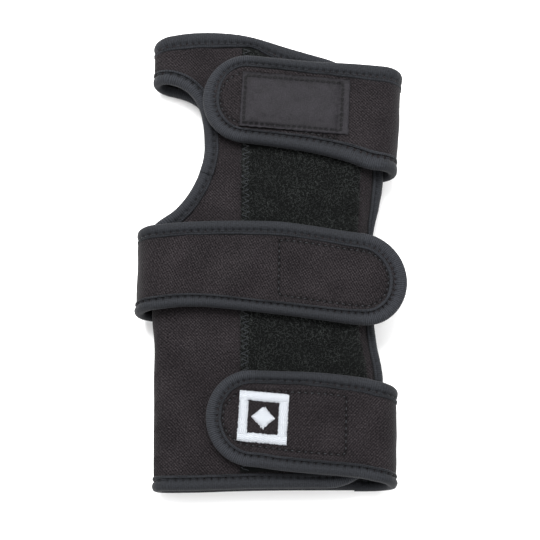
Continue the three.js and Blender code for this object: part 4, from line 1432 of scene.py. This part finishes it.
def label_flat(i, j):
    return ((i / LABEL_COLUMNS - 0.5) * LABEL["long"], (j / LABEL_ROWS - 0.5) * LABEL["high"])


def label_shape(i, j, w):
    a, b = label_flat(i, j)
    ragged = 0.12 * waves(a, b, 53, 3) * (inside_rim(a, b) < 0.5)
    s, y = sewn_place(hand, LABEL, a + ragged, b + ragged)
    dent = 0.18 * near(a, b, label_dashes, 0.5)
    off = HALF + hand.relief(s, y) + np.where(w > 0.5, label_height(a, b) - dent, -0.1)
    return hand.cloth.point(s, y, off), np.stack([a, b], axis=1)


def label_painted_shade(i, j, w):
    """Painted shade in the stitches, beside the seam, as a shadow on the top hem; dark at the rim.
    """
    a, b = label_flat(i, j)
    inside = inside_seam(a, b)
    seam_hollow_shade = 0.24 * np.exp(-(((inside - 0.8) / 1.6) ** 2)) * (inside > 0)
    hem_shadow = 0.3 * (inside < 0) * ease((b - seam_high + 0.6) / 1.2)
    cut = np.where(inside_rim(a, b) < 0.1, 0.7, 0)
    return np.clip(1.3 * near(a, b, label_dashes, 0.5) + cut + seam_hollow_shade + hem_shadow, 0, 1)


label = sew("label_blank", LABEL_COLUMNS, LABEL_ROWS, label_shape, [satin],
            marks={"painted_shade": label_painted_shade})
label_places = np.stack(sewn_place(hand, LABEL, *label_line.T), axis=1)
label_thread = thread(
    "label_seam", hand.cloth, label_places, label_along,
    HALF + hand.relief(*label_places.T) + label_height(*label_line.T)
    - 0.16 - 0.5 * dive(label_along, LABEL_STITCH, 3), thread_black, radius=0.14, wander=0)

# %% [markdown]
# ## The embroidered badge
# Embroidery is thread laid side by side. The white frame is a satin stitch, whose threads cross
# the frame's bars. Inside it a plain white diamond lies on a ground of the strap's own twill. One
# thread makes each bar: it goes over, turns, and comes back one thread further on.

# %% Embroidery
THREAD_STEP, BADGE_THREAD = 0.36, 0.2  # from thread to thread, and a thread's radius
FRAME = 4.0  # the width of the frame's bars
GROUND_CELLS = 30


def satin_stitch(name, start, end, across, seed, taper=None):
    """Threads laid across a bar from start to end, both as (a, b) from the badge's middle."""
    draw = np.random.default_rng(seed)
    start, end, across = (np.array(p, float) for p in (start, end, across))
    count = int(np.linalg.norm(end - start) / THREAD_STEP)
    places, heights = [], []
    for row in range(count + 1):
        t = row / count
        middle = start + (end - start) * t
        reach = across * (taper(t) if taper else 1)
        ragged = 1 + draw.normal(0, 0.07, 2)
        order = np.linspace(-1, 1, 6)
        if row % 2:
            order = -order
        for at in order:
            stretch = ragged[0] if at > 0 else ragged[1]
            places.append(middle + reach * at * stretch)
            heights.append(0.22 + 0.5 * (1 - at**2) ** 0.5)
    places, heights = np.array(places), np.array(heights)
    s, y = sewn_place(forearm, BADGE, places[:, 0], places[:, 1])
    line = forearm.cloth.point(s, y, HALF + forearm.relief(s, y) + 0.12 + heights)
    along = np.concatenate([[0], np.cumsum(np.linalg.norm(np.diff(line, axis=0), axis=1))])
    return tube(name, line, forearm.cloth.normal(s, y), np.stack([along, 0 * along], axis=1),
                thread_white, BADGE_THREAD)


half_long, half_high = BADGE["long"] / 2, BADGE["high"] / 2
bar = FRAME / 2
badge_bars = [
    satin_stitch("badge_bar_top", (-half_long, half_high - bar), (half_long, half_high - bar),
                 (0, bar), 61),
    satin_stitch("badge_bar_bottom", (-half_long, bar - half_high), (half_long, bar - half_high),
                 (0, bar), 62),
    satin_stitch("badge_bar_left", (bar - half_long, FRAME - half_high - 0.3),
                 (bar - half_long, half_high - FRAME + 0.3), (bar, 0), 63),
    satin_stitch("badge_bar_right", (half_long - bar, FRAME - half_high - 0.3),
                 (half_long - bar, half_high - FRAME + 0.3), (bar, 0), 64),
    satin_stitch("badge_diamond", (-5.2, 0), (5.2, 0), (0, 5.0), 65,
                 taper=lambda t: 0.03 + 0.97 * (1 - abs(2 * t - 1))),
]


def backing_shape(i, j, w):
    a, b = (i / GROUND_CELLS - 0.5) * BADGE["long"], (j / GROUND_CELLS - 0.5) * BADGE["high"]
    s, y = sewn_place(forearm, BADGE, a * 0.97, b * 0.97)
    off = HALF + forearm.relief(s, y) + np.where(w > 0.5, 0.25 + 0.03 * waves(a, b, 66, 3), -0.1)
    return forearm.cloth.point(s, y, off), np.stack([s, y], axis=1)


badge_ground = sew("badge_ground", GROUND_CELLS, GROUND_CELLS, backing_shape, [twill_strap])

# %% [markdown]
# ## Riding, replacing and printing the cut sizes
# Every piece rides on the part's one body, and each stands for a measured piece, which is then no
# longer shown. For each sheet of cloth the size it was cut to is measured on the flat grid and
# printed.

# %% What each piece stands for
def stand_for(piece, slot, *nodes):
    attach(piece, "root")
    if nodes:
        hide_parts(*nodes)


def flat_size(piece):
    """Width, length and area in metres of the flat cut, from the outer face's UV map."""
    mesh = piece.data
    uv = np.empty(2 * len(mesh.loops))
    mesh.uv_layers["cloth"].data.foreach_get("uv", uv)
    uv = uv.reshape(-1, 2) * MM
    total = 0.0
    for face in mesh.polygons:
        spots = uv[face.loop_start:face.loop_start + face.loop_total]
        x, y = spots.T
        total += abs(x.dot(np.roll(y, -1)) - y.dot(np.roll(x, -1))) / 2
    width, length = uv.max(axis=0) - uv.min(axis=0)
    return float(width), float(length), float(total / 2)


def declare(piece, with_pieces):
    width, length, area = flat_size(piece)
    area = min(area, width * length)
    print(f"{piece.name} was cut {width * 1000:.0f} x {length * 1000:.0f} mm, {area:.4f} m2")


stand_for(panel, "twill", "glove_panel")
for piece, node in zip(panel_tapes, ("finger_end_binding", "forearm_end_binding",
                                     "free_edge_binding", "back_edge_binding",
                                     "thumb_hole_binding")):
    stand_for(piece, "tape", node)
for piece in panel_threads:
    stand_for(piece, "tape")
for name, row in straps.items():
    stand_for(row["body"], "twill", name)
    stand_for(row["tape"], "tape", f"{name}_binding")
    stand_for(row["hook"], "hook_tape", f"{name}_hook")
    for piece in row["threads"]:
        stand_for(piece, "tape")
stand_for(loop_cloth, "loop_pile", "loop_field")
for piece in loop_yarns:
    stand_for(piece, "loop_pile")
stand_for(zigzag, "tape")
stand_for(label, "satin", "woven_label")
stand_for(label_thread, "tape")
stand_for(badge_bars[0], "thread", "embroidered_badge")
for piece in badge_bars[1:]:
    stand_for(piece, "thread")
stand_for(badge_ground, "twill")

declare(panel, panel_tapes + panel_threads)
for row in straps.values():
    declare(row["body"],
            [row["tape"], row["hook"], *row["threads"]])
declare(loop_cloth, [*loop_yarns, zigzag])
declare(label, [label_thread])
declare(badge_ground, badge_bars)

# %% [markdown]
# ## Table, light and camera
# The photograph is a plain product shot on a white table that burns out to pure white.

# %% Floor
bm = bmesh.new()
bmesh.ops.create_grid(bm, x_segments=1, y_segments=1, size=2.5)
floor_mesh = bpy.data.meshes.new("table_top")
bm.to_mesh(floor_mesh)
bm.free()
floor = bpy.data.objects.new("table_top", floor_mesh)
bpy.context.scene.collection.objects.link(floor)
white = Finish("white_table", Specular_IOR_Level=0.2, Roughness=0.9)
white.shader.inputs["Base Color"].default_value = (0.97, 0.97, 0.97, 1)
floor_mesh.materials.append(white.material)
print("table:", floor.name)

# %% [markdown]
# The light is soft and comes from all round, with a little more from above and behind, which gives
# the bound edges their pale rim and the near sides their narrow shadow.

# %% Light
SKY = 1.3  # the strength of the light from all round
world = bpy.data.worlds.new("studio")
world.use_nodes = True
background = world.node_tree.nodes["Background"]
background.inputs["Color"].default_value = (1, 1, 1, 1)
background.inputs["Strength"].default_value = SKY
bpy.context.scene.world = world


def soft_box(name, place, size, power):
    lamp = bpy.data.lights.new(name, "AREA")
    lamp.shape, lamp.size, lamp.energy = "SQUARE", size, power
    stand = bpy.data.objects.new(name, lamp)
    stand.location = place
    stand.rotation_euler = (-Vector(place)).to_track_quat("-Z", "Y").to_euler()
    bpy.context.scene.collection.objects.link(stand)


soft_box("overhead", (-0.2, 0.55, 1.2), 0.7, 30)
soft_box("side_fill", (0.7, 0.1, 1.2), 0.8, 5)
print("studio light of strength", SKY, "and two soft boxes")

# %% [markdown]
# The camera looks down from 77 degrees above the table, through a long lens.

# %% Camera
camera_data = bpy.data.cameras.new("camera")
camera_data.lens, camera_data.sensor_width = 90.8, 36
camera = bpy.data.objects.new("camera", camera_data)
AIM = Vector((-0.08, -7.5, 14)) * MM
ELEVATION, DISTANCE = math.radians(77), 0.65
back = Vector((0, -math.cos(ELEVATION), math.sin(ELEVATION)))
camera.location = AIM + back * DISTANCE
camera.rotation_euler = (-back).to_track_quat("-Z", "Y").to_euler()
bpy.context.scene.collection.objects.link(camera)
bpy.context.scene.camera = camera
bpy.context.scene.view_settings.view_transform = "Standard"
print("camera at", np.round(camera.location, 4).tolist())
